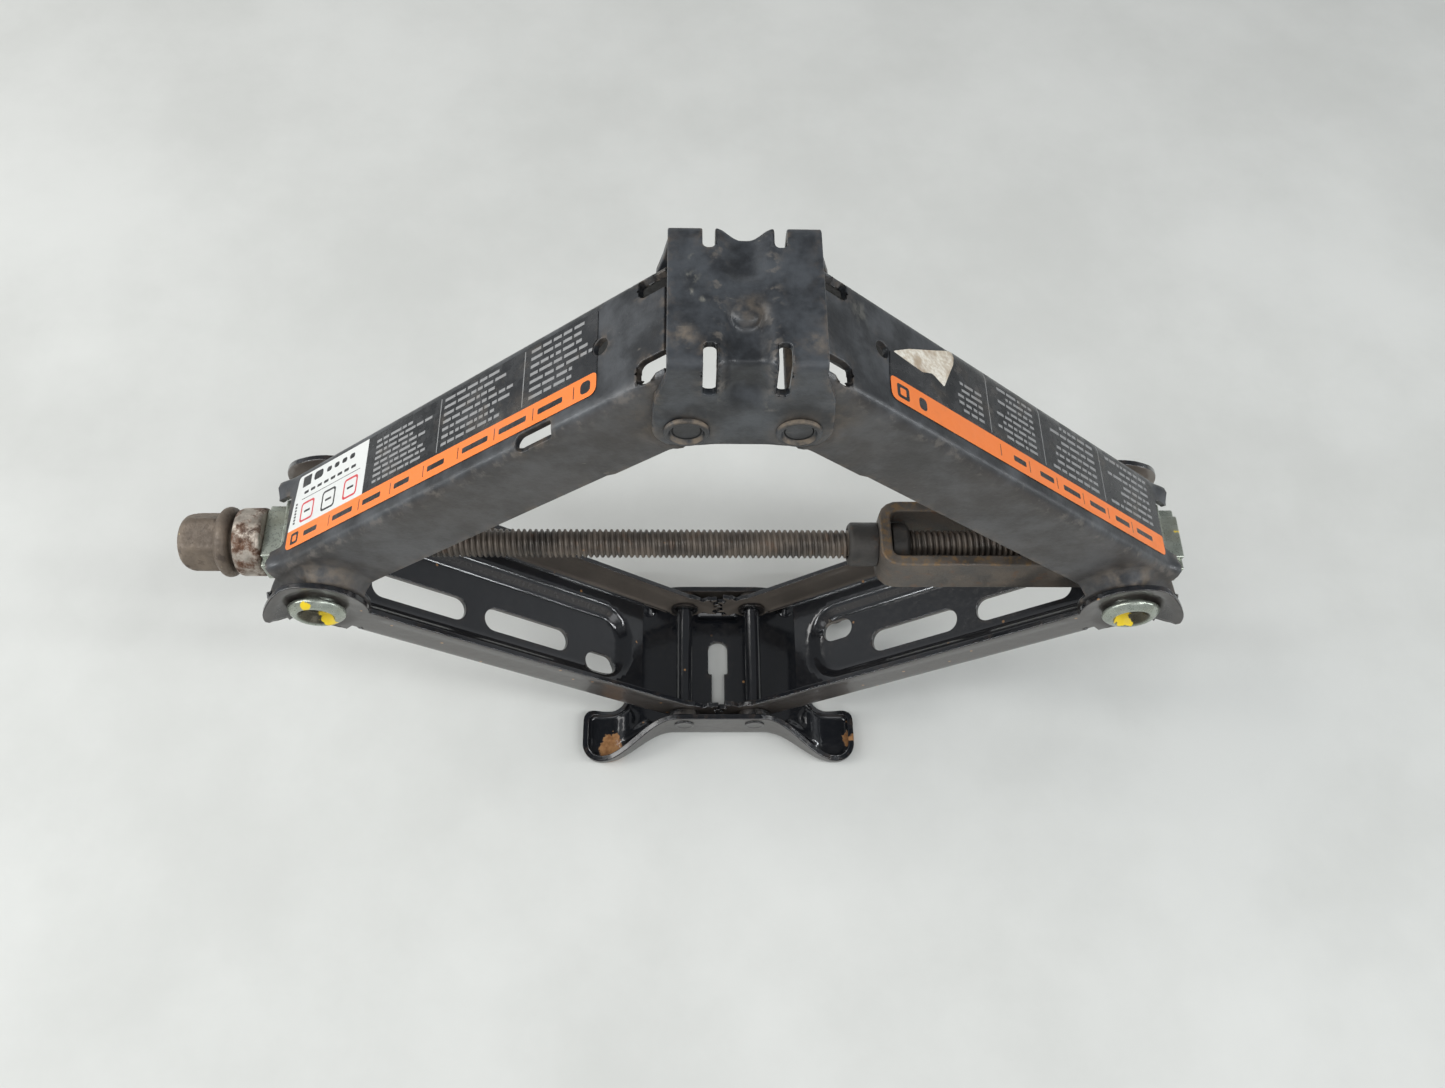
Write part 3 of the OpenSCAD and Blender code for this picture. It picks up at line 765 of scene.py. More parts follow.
def head_steel(name):
    """Grey-brown tarnished steel with pale crumbs of dirt and shallow pits."""
    look = Look(name)
    patches = look.noise(75, 0.3, 0.7, detail=6)
    fine = look.noise(640, 0.35, 0.7, detail=4)
    colour = look.mix(patches, (0.112, 0.088, 0.068), (0.205, 0.162, 0.122))
    colour = look.mix(look.times(look.noise(210, 0.56, 0.66, detail=8), 0.6), colour, (0.05, 0.036, 0.028))
    crumbs = look.specks(520, 0.16, 0.28)
    colour = look.mix(look.times(crumbs, look.noise(60, 0.42, 0.6), 0.9), colour, (0.42, 0.34, 0.20))
    normal = look.bump(look.maths("ADD", patches, crumbs), 0.10)
    normal = look.bump(fine, 0.07, normal)
    return look.finish(colour, look.blend(fine, 0.48, 0.72), normal, metallic=0.3)


def zinc_plate(name, marks, heads):
    """Pale grey-green zinc plating, with painted shade in the recess of each head, and dabs of yellow paint.
    """
    look = Look(name)
    cloudy = look.noise(110, 0.3, 0.7, detail=5)
    fine = look.noise(800, 0.35, 0.7, detail=3)
    colour = look.mix(cloudy, (0.30, 0.33, 0.285), (0.44, 0.47, 0.41))
    colour = look.mix(look.times(look.noise(70, 0.45, 0.75, detail=3), 0.5), colour, (0.24, 0.23, 0.17))
    # Painted shade: each head's recess is darkened where shade falls in it
    for centre in heads:
        colour = look.mix(look.times(look.spot(centre, 7.9, 0.14), 0.92), colour, RECESS_SHADE)
    rough = look.blend(fine, 0.26, 0.36)
    painted = 0.0
    for centre, radius in marks:
        dab = look.range(look.maths("ADD", look.spot(centre, radius, 1.0),
                                    look.noise(260, 0.2, 0.8, detail=4)), 0.78, 0.86)
        dab = look.times(dab, look.spot(centre, radius, 0.15))
        painted = look.most(painted, dab)
    colour = look.mix(painted, colour, YELLOW_PAINT)
    rough = look.blend(painted, rough, 0.35)
    normal = look.bump(look.maths("ADD", look.times(fine, 0.1), cloudy), 0.05)
    return look.finish(colour, rough, normal, metallic=look.blend(painted, 0.7, 0.0))


def print_look(name, ink, rough=0.3, dirt=0.25, mottle=0.12):
    """Printed film: one ink, faded a little, scratched and soiled."""
    look = Look(name)
    faded = tuple(min(1.0, c * (1 - mottle) + mottle * 0.25) for c in ink)
    colour = look.mix(look.noise(60, 0.35, 0.7), ink, faded)
    soil = look.times(look.noise(85, 0.52, 0.72, detail=8), dirt)
    colour = look.mix(soil, colour, (0.16, 0.13, 0.10))
    speck = look.specks(300, 0.06, 0.14)
    colour = look.mix(look.times(speck, dirt), colour, (0.05, 0.045, 0.04))
    roughness = look.blend(look.noise(240, 0.4, 0.7), rough, rough + 0.15)
    return look.finish(colour, roughness, look.bump(look.noise(150, 0.2, 0.8, detail=3), 0.03))


def torn_paper(name):
    """The pale fibres that a torn film leaves on its glue, browned at one side."""
    look = Look(name)
    fibres = look.noise(700, 0.3, 0.7, detail=6, stretch=(0.25, 1, 1))
    colour = look.mix(fibres, (0.55, 0.47, 0.36), (0.83, 0.80, 0.72))
    colour = look.mix(look.noise(70, 0.45, 0.65, detail=5), colour, (0.40, 0.31, 0.22))
    return look.finish(colour, 0.8, look.bump(fibres, 0.06))


def bearing_look(name):
    """Ground steel under a thin brown film of grease."""
    look = Look(name)
    grease = look.noise(150, 0.35, 0.65)
    colour = look.mix(grease, (0.50, 0.50, 0.48), (0.20, 0.15, 0.09))
    return look.finish(colour, look.blend(grease, 0.15, 0.4), look.bump(look.noise(900), 0.01), metallic=0.9)


def floor_look(name):
    """A pale, plain studio floor with faint clouds."""
    look = Look(name)
    colour = look.mix(look.noise(5.5, 0.3, 0.7, detail=6), (0.60, 0.605, 0.58), (0.68, 0.685, 0.66))
    return look.finish(colour, 0.8, look.bump(look.noise(60, 0.3, 0.7), 0.05), Specular_IOR_Level=0.15)


# ---------------------------------------------------------------- the arms
def keep_wear(piece, wear):
    """Stores how rubbed each point of a sheet is, from 0 to 1. Call it before the sheet is settled."""
    points = np.empty(len(piece.data.vertices) * 3)
    piece.data.vertices.foreach_get("co", points)
    points = points.reshape(-1, 3)
    piece.data.attributes.new("bend_wear", "FLOAT", "POINT").data.foreach_set(
        "value", np.asarray(wear(points[:, 0], points[:, 1], points[:, 2]), np.float32))


def panel_line(inset):
    """The outline of the sunk panel, drawn smaller by inset."""
    half, radius = PANEL_HALF - inset, PANEL_CORNER - inset
    left = PANEL_START + inset
    return ([(WEB_END + 1.0, half)] + arc(left + radius, half - radius, radius, 90, 180, 14)
            + arc(left + radius, radius - half, radius, 180, 270, 14) + [(WEB_END + 1.0, -half)])


def lower_arm(name, body, node, side, first_tooth, teeth, hole_side, look):
    """A lower arm: a wide channel with a sunk panel, three slots, toothed ends and round ears."""
    fold = Channel(LOWER_HALF, LOWER_BEND, LOWER_WEB, -1)
    adds = [box(WEB_START, -fold.start, WEB_END, fold.start)]
    cuts = [slot(x0, x1, WEB_SLOT_AT, WEB_SLOT_WIDE) for x0, x1 in ((120, 167), (63, 110))]
    cuts.append(slot(35, 52, hole_side * 9 - 1.5, 10))
    # The ear is round, but shallower below
    ear = arc(ARM, 0, EAR_RADIUS, -42, 212, 44)
    ear += [(ARM - 9, -13.2), (ARM - 2, -14.6), (ARM + 5, -15.3), (ARM + 11, -14.8)]
    for s in (-1, 1):
        adds += [fold.on(s, box(0, LOWER_WEB, ARM, LOWER_LIP)), fold.on(s, circle(0, 0, GEAR_END)),
                 fold.on(s, ear)]
        adds += [fold.on(s, o) for o in gear(0, first_tooth, teeth)]
        cuts += [fold.on(s, circle(0, 0, PIN_BORE, 24)), fold.on(s, circle(ARM, 0, JOURNAL_BORE, 32)),
                 box(WEB_END, s * 29 - 3.6, WEB_END + 3.4, s * 29 + 3.6)]
    adds = [[(float(x), float(y)) for x, y in o] for o in adds]

    def beyond_web(u, v):
        """Which points lie on the flanges past the web's end, where there is no bend."""
        return (u > WEB_END + 1.5) & (np.abs(v) > fold.flat - 7)

    def plain(u, v):
        return fold.place(u, v, 0.0, beyond_web(u, v))

    def shape(u, v):
        straight = beyond_web(u, v)
        n = fold.n(v)
        # How deep each point lies in the panel, which is a rounded rectangle open at the outer end
        x = np.maximum(PANEL_START + PANEL_CORNER - u, 0)
        y = np.maximum(np.abs(v) - PANEL_HALF + PANEL_CORNER, 0)
        edge = PANEL_CORNER - np.hypot(x, y)
        edge = np.where((x == 0) & (y == 0), PANEL_CORNER, edge)
        sunk = PANEL_DEPTH * smooth(0, PANEL_SLOPE, edge)
        # The ear turns outwards past the pivot, on the side that faces away from the jack
        away = (u - ARM) * math.cos(ARM_ANGLE) - n * math.sin(ARM_ANGLE)
        flared = np.where(v < 0, FRONT_FLARE, BACK_FLARE) * smooth(8.0, 22, away) * straight
        dished = -1.1 * smooth(16.5, 12.5, np.hypot(u - ARM, n)) * straight
        # A soft rib stiffens each flange along its lip
        ribbed = 0.5 * bell(n, LOWER_LIP - 1.5, 1.6) * (u < ARM - 24)
        bulge = np.where(np.abs(v) < fold.flat, sunk, flared + dished + ribbed)
        return fold.place(u, v, bulge, straight)

    guides = [panel_line(k * PANEL_SLOPE / 3) for k in range(4)]
    piece = sheet(name, adds, cuts, shape, ARM_SHEET, [look], spacing=2.0, rows=fold.rows(LOWER_LIP, 2.0),
                  grow=1, edge=0.45, regions=[(guides, 0)], plain=plain)
    hand_over(piece, lower_place(side), body, node)


def upper_bulge(u, v, fold):
    """How far an upper arm's outer face stands out from its plain channel."""
    n = fold.n(v)
    flange = np.abs(v) > fold.start
    away = np.hypot(u, n)
    pad = PAD_RISE * smooth(24.2, 18.9, away) * smooth(UPPER_WEB - UPPER_BEND + 0.5, 11.5, n)
    brow = 1.5 * bell(away, 19.3, 1.7) - 1.1 * bell(away, 15.6, 1.6)
    pad = pad + brow * smooth(17.0, 15.0, n) * smooth(2, 8, n)
    ridge = 1.7 * bell(np.hypot(u - ARM, n), 14.2, 2.2) * smooth(-2, -8, u - ARM)
    curl = 1.5 * smooth(5, -4, u) * bell(np.abs(v), 17.5, 3.2)
    # The ridge stops where the saddle's wall comes down over it when the jack is folded
    return np.where(flange, pad + ridge * smooth(5.5, 2.0, n), curl)


def upper_fold():
    return Channel(UPPER_HALF, UPPER_BEND, UPPER_WEB, 1)


def upper_arm(name, body, node, side, first_tooth, teeth, edge_slot, look):
    """An upper arm: a narrower channel whose flanges spread out to pads over the side pivot."""
    fold = upper_fold()
    lip = fold.v(UPPER_LIP)
    adds = [box(-4, -lip, UPPER_END, lip), box(UPPER_END - 3, -21, TONGUE_END, 21)]
    cuts = [box(-9, -11.5, 5, 11.5, 3), circle(178, 2, 3, 24)]
    if edge_slot:
        cuts.append(rounded([(138, -22.5, 3), (155, -22.5, 3), (157.5, -16.2, 2), (141, -16.2, 3)]))
    # The pad is a disc round the side pivot that stops below the bend
    top = 15.5
    side_angle = math.degrees(math.asin(top / PAD_RADIUS))
    pad = arc(0, 0, PAD_RADIUS, 180 - side_angle, 360 + side_angle, 48)
    for s in (-1, 1):
        adds += [fold.on(s, pad), fold.on(s, [(-4, 18), (-14.5, 14.2), (0, 0)]),
                 fold.on(s, rounded([(152, 0, 0), (152, UPPER_LIP, 0), (155, UPPER_TOP_LIP, 0.8),
                                     (ARM, UPPER_TOP_LIP, 0), (ARM, 8, 0)])),
                 fold.on(s, circle(ARM, 0, TOP_END))]
        adds += [fold.on(s, o) for o in gear(ARM, first_tooth, teeth)]
        # The corner that runs on under the saddle, and the notch between it and the tongue
        corner = rounded([(UPPER_END - 3, 20, 0), (TONGUE_END, 20, 0), (TONGUE_END + 1.5, fold.v(12), 3),
                          (ARM + 3, fold.v(0), 0), (UPPER_END - 3, fold.v(0), 0)])
        notch = rounded([(UPPER_END, TONGUE_HALF, 3.2), (UPPER_END, 20.6, 2.6), (UPPER_END + 4.5, 20.2, 1.6),
                         (UPPER_END + 7.5, 18.5, 1.6), (TONGUE_END + 9, 18.3, 0),
                         (TONGUE_END + 9, TONGUE_HALF, 0)])
        adds.append(mirrored(corner, s))
        cuts += [mirrored(notch, s), fold.on(s, circle(0, 0, JOURNAL_BORE, 32)),
                 fold.on(s, circle(ARM, 0, PIN_BORE, 24))]
    adds = [[(float(x), float(y)) for x, y in o] for o in adds]

    def shape(u, v):
        return fold.place(u, v, upper_bulge(u, v, fold))

    piece = sheet(name, adds, cuts, shape, ARM_SHEET, [look], spacing=2.0, rows=fold.rows(-20, 2.0), grow=-1,
                  edge=0.45)
    keep_wear(piece, lambda x, y, n: bell(np.abs(y), UPPER_HALF - 0.8, 1.8) * bell(n, UPPER_WEB - 2.0, 3.2))
    hand_over(piece, upper_place(side), body, node)


# ---------------------------------------------------------------- the labels
LABEL_THICK, LABEL_GAP = 0.2, 0.04
STRIP_FOOT = -15.2                      # lower edge of both labels and of their orange strips


def text_bars(t0, t1, y0, y1, pitch, height):
    """Rows of short plain bars between two places along the label: they stand for lines of print."""
    bars = []
    y = y0
    while y + height < y1:
        t, end = t0, t1 - random.uniform(0, 0.35) * (t1 - t0)
        while t < end - 1.0:
            length = random.uniform(1.6, 6.5)
            bars.append(box(t, y, min(t + length, end), y + height))
            t += length + random.uniform(0.7, 1.1)
        y += pitch
    return bars


def strip_marks(t0, t1, y, count):
    """One long plain bar after another, with dividers, along the orange strip."""
    marks = []
    step = (t1 - t0) / count
    for k in range(count):
        t, end = t0 + k * step, t0 + (k + 1) * step
        marks.append(box(t + 1.2, y - 1.1, end - 3.6 - random.uniform(0, 0.3) * step, y + 1.1, 0.5))
        marks.append(box(end - 1.2, y - 2.3, end - 0.8, y + 2.3))
    return marks


def orange_strip(start, end, high, corner, end_corner):
    return rounded([(start, STRIP_FOOT, corner), (end, STRIP_FOOT, end_corner), (end, high, 2.2),
                    (start, high, 0.3)])


def label(name, body, node, side, outline, holes, regions, looks):
    """A printed film that follows the upper arm's face. All its marks are plain shapes."""
    fold = upper_fold()

    def shape(u, v):
        return fold.place(u, v, upper_bulge(u, v, fold) + LABEL_THICK + LABEL_GAP)

    piece = sheet(name, [outline], holes, shape, LABEL_THICK, looks, spacing=3.0,
                  rows=np.arange(-14.2, 22, 2.0), grow=-1, edge=0, regions=regions)
    hand_over(piece, upper_place(side), body, node)


def left_label(looks):
    """Black film with a white panel of generic marks, three panels of bars and an orange strip."""
    black, orange, white, grey, red = range(5)
    start, end, high, top = 7.5, 177.0, -7.0, 17.0
    outline = rounded([(start, STRIP_FOOT, 3), (end, STRIP_FOOT, 3.2), (end, high, 0.4),
                       (end - 0.5, top, 0.8), (start + 2.5, top, 2), (start, high, 0.4)])
    panel = rounded([(start, high, 0.2), (55.6, high, 0.2), (55.6, top, 0.2), (start + 2.5, top, 2)])
    bars = (text_bars(61, 94, -4.6, 16, 2.5, 1.15) + text_bars(100.5, 139, -4.4, 16, 3.1, 1.25)
            + text_bars(145.5, 175, -4.4, 16, 3.1, 1.25))
    dividers = [box(t, high + 1, t + 0.4, top - 0.6) for t in (98.2, 142.2)]
    marks = strip_marks(18, 168, -11.1, 8)
    marks += [box(10.5, -13.6, 15.5, -8.6, 1.0), box(170, -13.4, 174.4, -8.8, 1.6)]
    inset = [box(11.7, -12.4, 14.3, -9.8, 0.5)]
    marks += [box(13, 11.2, 18.6, 16, 0.4), box(20.5, 11.8, 26.5, 15.5, 1.4), box(14, 5.4, 52, 5.7)]
    marks += [box(29 + 5 * k, 12.4, 32.2 + 5 * k, 14.6, 1.0) for k in range(4)]
    marks += [box(15 + 4.4 * k, 7.6, 18 + 4.4 * k, 8.9, 0.4) for k in range(8)]
    marks += [box(10.2, -4.5 + 1.4 * k, 11.5, -3.6 + 1.4 * k) for k in range(7)]
    regions = [([orange_strip(start, end, high, 3, 3.2)], orange), ([panel], white), (bars + dividers, grey),
               (marks, black), (inset, orange)]
    for t, ink in ((19, red), (33, black), (47, red)):
        regions += [([box(t - 4.4, -5.2, t + 4.4, 3.6, 1.5)], ink),
                    ([box(t - 3.5, -4.3, t + 3.5, 2.7, 1.0)], white),
                    ([box(t - 2.0, -1.3, t + 2.0, -0.3, 0.3)], black)]
    label("upper_left_label", "upper_left", "warning_label_left", -1, outline, [circle(178, 2, 3.5, 24)],
          regions, looks)


def right_label(looks):
    """Black film with four panels of bars, an orange strip and a torn corner that shows pale fibres."""
    black, orange, torn, grey = range(4)
    start, end, high, top = 6.0, 175.5, -6.4, 20.5
    outline = rounded([(start, STRIP_FOOT, 2.4), (end, STRIP_FOOT, 3), (end, high, 0.4), (end - 1, 3.0, 1),
                       (164, 9.0, 0), (150, 15.2, 1), (138, top, 0.5), (start, top, 1)])
    bars = (text_bars(12, 44, -3.9, 18.5, 3.2, 1.25) + text_bars(52, 84, -3.9, 18.5, 3.2, 1.25)
            + text_bars(93, 117, -3.6, 18.5, 2.7, 1.15) + text_bars(125, 142, -3.6, 10, 2.7, 1.15))
    dividers = [box(t, high + 1, t + 0.4, top - 1) for t in (47.6, 88.0, 121.0)]
    marks = strip_marks(14, 118, -10.8, 6)
    marks += [box(166.5, -13.4, 172.5, -8.2, 1.0), box(157.5, -13.2, 161.5, -8.6, 1.6)]
    inset = [box(168.0, -12.2, 171.0, -9.4, 0.5)]
    fibres = rounded([(173, 3.6, 0.4), (164, 8.8, 0), (150, 15.0, 0), (138.4, 20.3, 0), (139.8, 14, 1),
                      (146.6, 1.8, 0.8), (152.5, 4.4, 3), (158, 2.4, 2)])
    regions = [([orange_strip(start, end, high, 2.4, 3)], orange), (bars + dividers, grey), (marks, black),
               (inset, orange), ([fibres], torn)]
    label("upper_right_label", "upper_right", "warning_label_right", 1, outline, [], regions, looks)


# ---------------------------------------------------------------- base
def base_outline():
    """The base seen from above, its corners rounded, as a closed line of evenly spaced points."""
    sweep_start, sweep_end = 23.0, 58.0
    quarter = [(0.0, BASE_WAIST)]
    for k in range(0, 13):
        s = k / 12
        quarter.append((sweep_start + s * (sweep_end - sweep_start),
                        BASE_WAIST + (BASE_DEPTH - BASE_WAIST) * (1 - math.cos(math.pi * s)) / 2))
    corner = 10.0
    quarter += arc(BASE_LENGTH - corner, BASE_DEPTH - corner, corner, 85, 0, 10)
    quarter += arc(BASE_LENGTH - 6, 30, 6, 0, -90, 8)
    quarter += arc(56, 16, 8, 90, 180, 8)
    upper = list(reversed(quarter)) + [(-x, y) for x, y in quarter]
    whole = upper + [(x, -y) for x, y in reversed(upper)]
    line = [whole[0]]
    for p in whole[1:]:
        if math.hypot(p[0] - line[-1][0], p[1] - line[-1][1]) > 0.3:
            line.append(p)
    return even(line, 1.7)


def even(line, spacing):
    """A closed line with its points evenly spaced."""
    points = np.array(line + [line[0]], float)
    along = np.concatenate([[0], np.cumsum(np.linalg.norm(np.diff(points, axis=0), axis=1))])
    count = int(along[-1] / spacing)
    at_length = np.linspace(0, along[-1], count, endpoint=False)
    return np.stack([np.interp(at_length, along, points[:, k]) for k in (0, 1)], axis=1)


def rim_height(x, y):
    """Height of the base's rim: high along the waist, low round the feet, none under the arms."""
    x, y = np.abs(x), np.abs(y)
    high = np.interp(x, [0, 23, 38, 56, 70], [BASE_WALL, BASE_WALL, 17, 8, 6])
    under_arms = (y < 33) & (x < 62)
    return np.where(under_arms, 3.0, np.where(y < 25, 4.0, high))


def capsule(x, y, x0, y0, x1, y1, radius, slope):
    """1 inside a round-ended strip, falling to 0 over its slope."""
    dx, dy = x1 - x0, y1 - y0
    s = np.clip(((x - x0) * dx + (y - y0) * dy) / (dx * dx + dy * dy), 0, 1)
    return smooth(radius, radius - slope, np.hypot(x - x0 - s * dx, y - y0 - s * dy))


def foot_relief(x, y):
    """How far the base floor is pressed up: ribs along the feet, and gussets."""
    x, y = np.abs(x), np.abs(y)
    rib = 2.6 * capsule(x, y, 46.5, 27, 46.5, 37.5, 4.6, 3.0)
    gusset = 3.2 * capsule(x, y, 36, 33, 47.5, 40, 4.4, 3.4)
    return np.maximum(rib, gusset)


def base_plate(look):
    """The base: a floor with a keyhole, and walls that sweep out and down round four feet."""
    line = base_outline()
    ahead, behind = np.roll(line, -1, axis=0), np.roll(line, 1, axis=0)
    run = unit(ahead - behind)
    inward = np.stack([-run[:, 1], run[:, 0]], axis=1)
    if (inward * (-line)).sum() < 0:
        inward = -inward
    for _ in range(4):
        inward = unit(inward + np.roll(inward, 1, axis=0) + np.roll(inward, -1, axis=0))
    height = rim_height(line[:, 0], line[:, 1])
    for _ in range(5):
        height = (height + np.roll(height, 1) + np.roll(height, -1)) / 3
    rings, bend_rings = 14, 7
    levels = []
    full_arc = BASE_BEND * math.pi / 2
    turn_end = np.arccos(np.clip(1 - height / BASE_BEND, 0, 1))
    length = np.where(height < BASE_BEND, BASE_BEND * turn_end, full_arc + height - BASE_BEND)
    for k in range(rings + 1):
        part = min(k / bend_rings, 1) * np.minimum(length, full_arc)
        part = part + max(0, (k - bend_rings) / bend_rings) * np.maximum(length - full_arc, 0)
        turn = np.minimum(part / BASE_BEND, math.pi / 2)
        inset = BASE_BEND * (1 - np.sin(turn))
        z = BASE_BEND * (1 - np.cos(turn)) + np.maximum(part - full_arc, 0)
        levels.append(np.concatenate([line + inward * inset[:, None], z[:, None]], axis=1))
    keyhole = [box(-5, -4, 5, 9, 1), circle(0, 9, 5, 32), box(-3.2, -19, 3.2, 0), circle(0, -19, 3.2, 24)]
    pockets = [box(d - POCKET_HALF, s * POCKET_AT - POCKET_WIDE + d,
                   POCKET_HALF - d, s * POCKET_AT + POCKET_WIDE - d)
               for s in (-1, 1) for d in (0, POCKET_SLOPE)]
    floor_edge = [tuple(p[:2]) for p in levels[0]]
    holes = [dense(o, 2.0) for o in keyhole]
    flat, faces = triangles([floor_edge] + holes + [dense(o, 1.6) for o in pockets], [floor_edge], holes,
                            1.9, np.arange(-BASE_DEPTH, BASE_DEPTH, 1.7))
    first, count = len(flat), len(line)
    points = np.concatenate([np.concatenate([flat, np.zeros((first, 1))], axis=1)] + levels)
    all_faces = [tuple(f) for f in faces]
    for k in range(rings):
        for i in range(count):
            j = (i + 1) % count
            a, b = first + k * count, first + (k + 1) * count
            all_faces += [(a + i, a + j, b + j), (a + i, b + j, b + i)]
    points, faces = welded(points, all_faces)
    normals = corner_normals(points, faces)
    fade = 0.25 + 0.75 * smooth(0.0, 5.0, distance(points[:, :2], np.stack([line, ahead], axis=1)))
    points[:, 2] += foot_relief(points[:, 0], points[:, 1]) * fade * (points[:, 2] < 9)
    # Under the arms' teeth the floor is thinner
    into = np.minimum(POCKET_HALF - np.abs(points[:, 0]),
                      POCKET_WIDE - np.abs(np.abs(points[:, 1]) - POCKET_AT))
    thickness = PLATE - POCKET_DEPTH * np.clip(into / POCKET_SLOPE, 0, 1) * (points[:, 2] < 1)
    piece = thicken("base_pressing", points, faces, normals, thickness[:, None], 1, 0.5, [look])
    hand_over(piece, at(0, 0, 0), "base", "base_plate")


def welded(points, faces):
    """A triangle mesh with its double points made one, facing upwards."""
    edit = bmesh.new()
    corners = [edit.verts.new(p) for p in points]
    for a, b, c in faces:
        edit.faces.new((corners[a], corners[b], corners[c]))
    bmesh.ops.remove_doubles(edit, verts=edit.verts, dist=0.02)
    bmesh.ops.dissolve_degenerate(edit, edges=edit.edges, dist=0.01)
    bmesh.ops.delete(edit, geom=[v for v in edit.verts if not v.link_faces], context="VERTS")
    bmesh.ops.triangulate(edit, faces=edit.faces)
    bmesh.ops.recalc_face_normals(edit, faces=edit.faces)
    if sum(f.normal.z * f.calc_area() for f in edit.faces) < 0:
        bmesh.ops.reverse_faces(edit, faces=edit.faces)
    edit.verts.index_update()
    points = np.array([v.co for v in edit.verts], float)
    faces = np.array([[v.index for v in f.verts] for f in edit.faces])
    edit.free()
    return points, faces


# ---------------------------------------------------------------- saddle
def saddle_plate(look):
    """The saddle: a channel across the jack with a groove, a dome, four slots and round pin bosses."""
    fold = Channel(SADDLE_HALF, SADDLE_BEND, SADDLE_TOP, 1)
    top = fold.v(28)
    ear_end = math.degrees(math.asin(-SADDLE_LIP / SADDLE_EAR))
    half = [(SADDLE_LENGTH, 30), (SADDLE_LENGTH, 28), (SADDLE_LENGTH + 1.6, 22),
            (BASE_PIVOT.x + SADDLE_EAR - 1.1, 16), (BASE_PIVOT.x + SADDLE_EAR - 0.3, 8)]
    half += arc(BASE_PIVOT.x, 0, SADDLE_EAR, 0, -ear_end, 10)
    wall = half + [(-x, n) for x, n in reversed(half)]
    body = [box(-SADDLE_LENGTH, -top, SADDLE_LENGTH, top)] + [fold.on(s, wall) for s in (-1, 1)]
    cuts = []
    for sx in (-1, 1):
        for sy in (-1, 1):
            x0, x1 = sorted((sx * SLIT_IN, sx * SLIT_OUT))
            y0, y1 = sorted((sy * 17.0, sy * fold.v(18.5)))
            cuts.append(box(x0, y0, x1, y1, 1.6))
            cuts.append(fold.on(sy, circle(sx * BASE_PIVOT.x, 0, PIN_BORE, 24)))
    guides = [circle(0, DOME_AT, r, 36) for r in (DOME_TOP, (DOME_TOP + DOME_FOOT) / 2, DOME_FOOT)]
    guides += [box(-x, -fold.v(12), x, fold.v(12))
               for x in (GROOVE_FLOOR, (GROOVE_FLOOR + GROOVE_HALF) / 2, GROOVE_HALF)]

    def shape(x, v):
        n = fold.n(v)
        flange = np.abs(v) > fold.start
        boss = sum(0.7 * smooth(13.5, 7.5, np.hypot(x - s * BASE_PIVOT.x, n)) for s in (-1, 1))
        waist = 0.5 * bell(n, 10, 5) * smooth(9, 14, np.abs(x))
        points = fold.place(x, v, np.where(flange, boss - waist, 0))
        # The groove is shallow in the middle of the saddle and deep towards both walls
        across = smooth(GROOVE_HALF, np.where(v > 3, REAR_FLOOR, GROOVE_FLOOR), np.abs(x))
        along = np.maximum(REAR_DEPTH / GROOVE_DEPTH * smooth(4.5, 10.5, v), smooth(-1.0, -9.0, v))
        fade = np.where(flange, smooth(13, 28, n), 1.0)
        depth = across * fade * (GROOVE_BRIDGE + (GROOVE_DEPTH - GROOVE_BRIDGE) * along)
        away = np.hypot(x, v - DOME_AT)
        domed = GROOVE_TOP_GAP + 0.9 * (away / DOME_TOP) ** 2
        depth = depth + (domed - depth) * smooth(DOME_FOOT, DOME_TOP, away)
        points[:, 2] -= depth
        pressed = GROOVE_PRESS * across * smooth(10, 24, n) * smooth(fold.flat - 4, fold.start, np.abs(v))
        points[:, 1] -= np.sign(v) * pressed
        # The rear wall leans out towards its top
        points[:, 1] += REAR_FLARE * smooth(10, 22, v) * smooth(12, 30, n)
        points[:, 2] -= SADDLE_GAP
        return points

    piece = sheet("saddle_pressing", body, cuts, shape, PLATE, [look], spacing=1.15,
                  rows=fold.rows(SADDLE_LIP, 1.15), grow=-1, edge=0.5, regions=[(guides, 0)],
                   plain=fold.place)
    keep_wear(piece, lambda x, y, n: bell(np.abs(x), GROOVE_HALF - 0.5, 2.2) * (n > 10))
    hand_over(piece, at(0, 0, TOP_PIVOT.z), "saddle", "saddle_plate")


# ---------------------------------------------------------------- pins, blocks and yoke
def pin(name, body, node, x, z, half, head, rise, dish, look):
    """A pin with a flattened, dished head at each end."""
    end = [(half, 4.0), (half, head), (half + rise * 0.75, head - 0.25), (half + rise, head * 0.86),
           (half + rise, head * 0.78), (half + rise - dish, head * 0.68), (half + rise - dish, 0.0)]
    profile = [(-a, r) for a, r in reversed(end)] + end
    piece = lathe(name, turned(profile, 0.35), [look], axis="y", segments=40)
    hand_over(piece, at(x, 0, z), body, node)


def washers(look):
    """The spacers on both sides of each lower arm's flanges."""
    rings = []
    clear, thick, bore, base_inside = 0.3, 1.6, 4.05, 33.1
    inside_face, outside_face = LOWER_HALF - ARM_SHEET - clear, LOWER_HALF + clear
    for side in (-1, 1):
        for m in (-1, 1):
            for radius, y0, y1 in ((7.0, inside_face - thick, inside_face), (8.0, outside_face, base_inside)):
                profile = [(m * y0, bore), (m * y0, radius), (m * y1, radius), (m * y1, bore), (m * y0, bore)]
                rings.append(lathe("washer", turned(profile, 0.3), [look], axis="y", segments=36))
                rings[-1].data.transform(Matrix.Translation((side * BASE_PIVOT.x, 0, BASE_PIVOT.z)))
    hand_over(join("pivot_washers", rings), at(0, 0, 0), "base", "base_pin_washers")


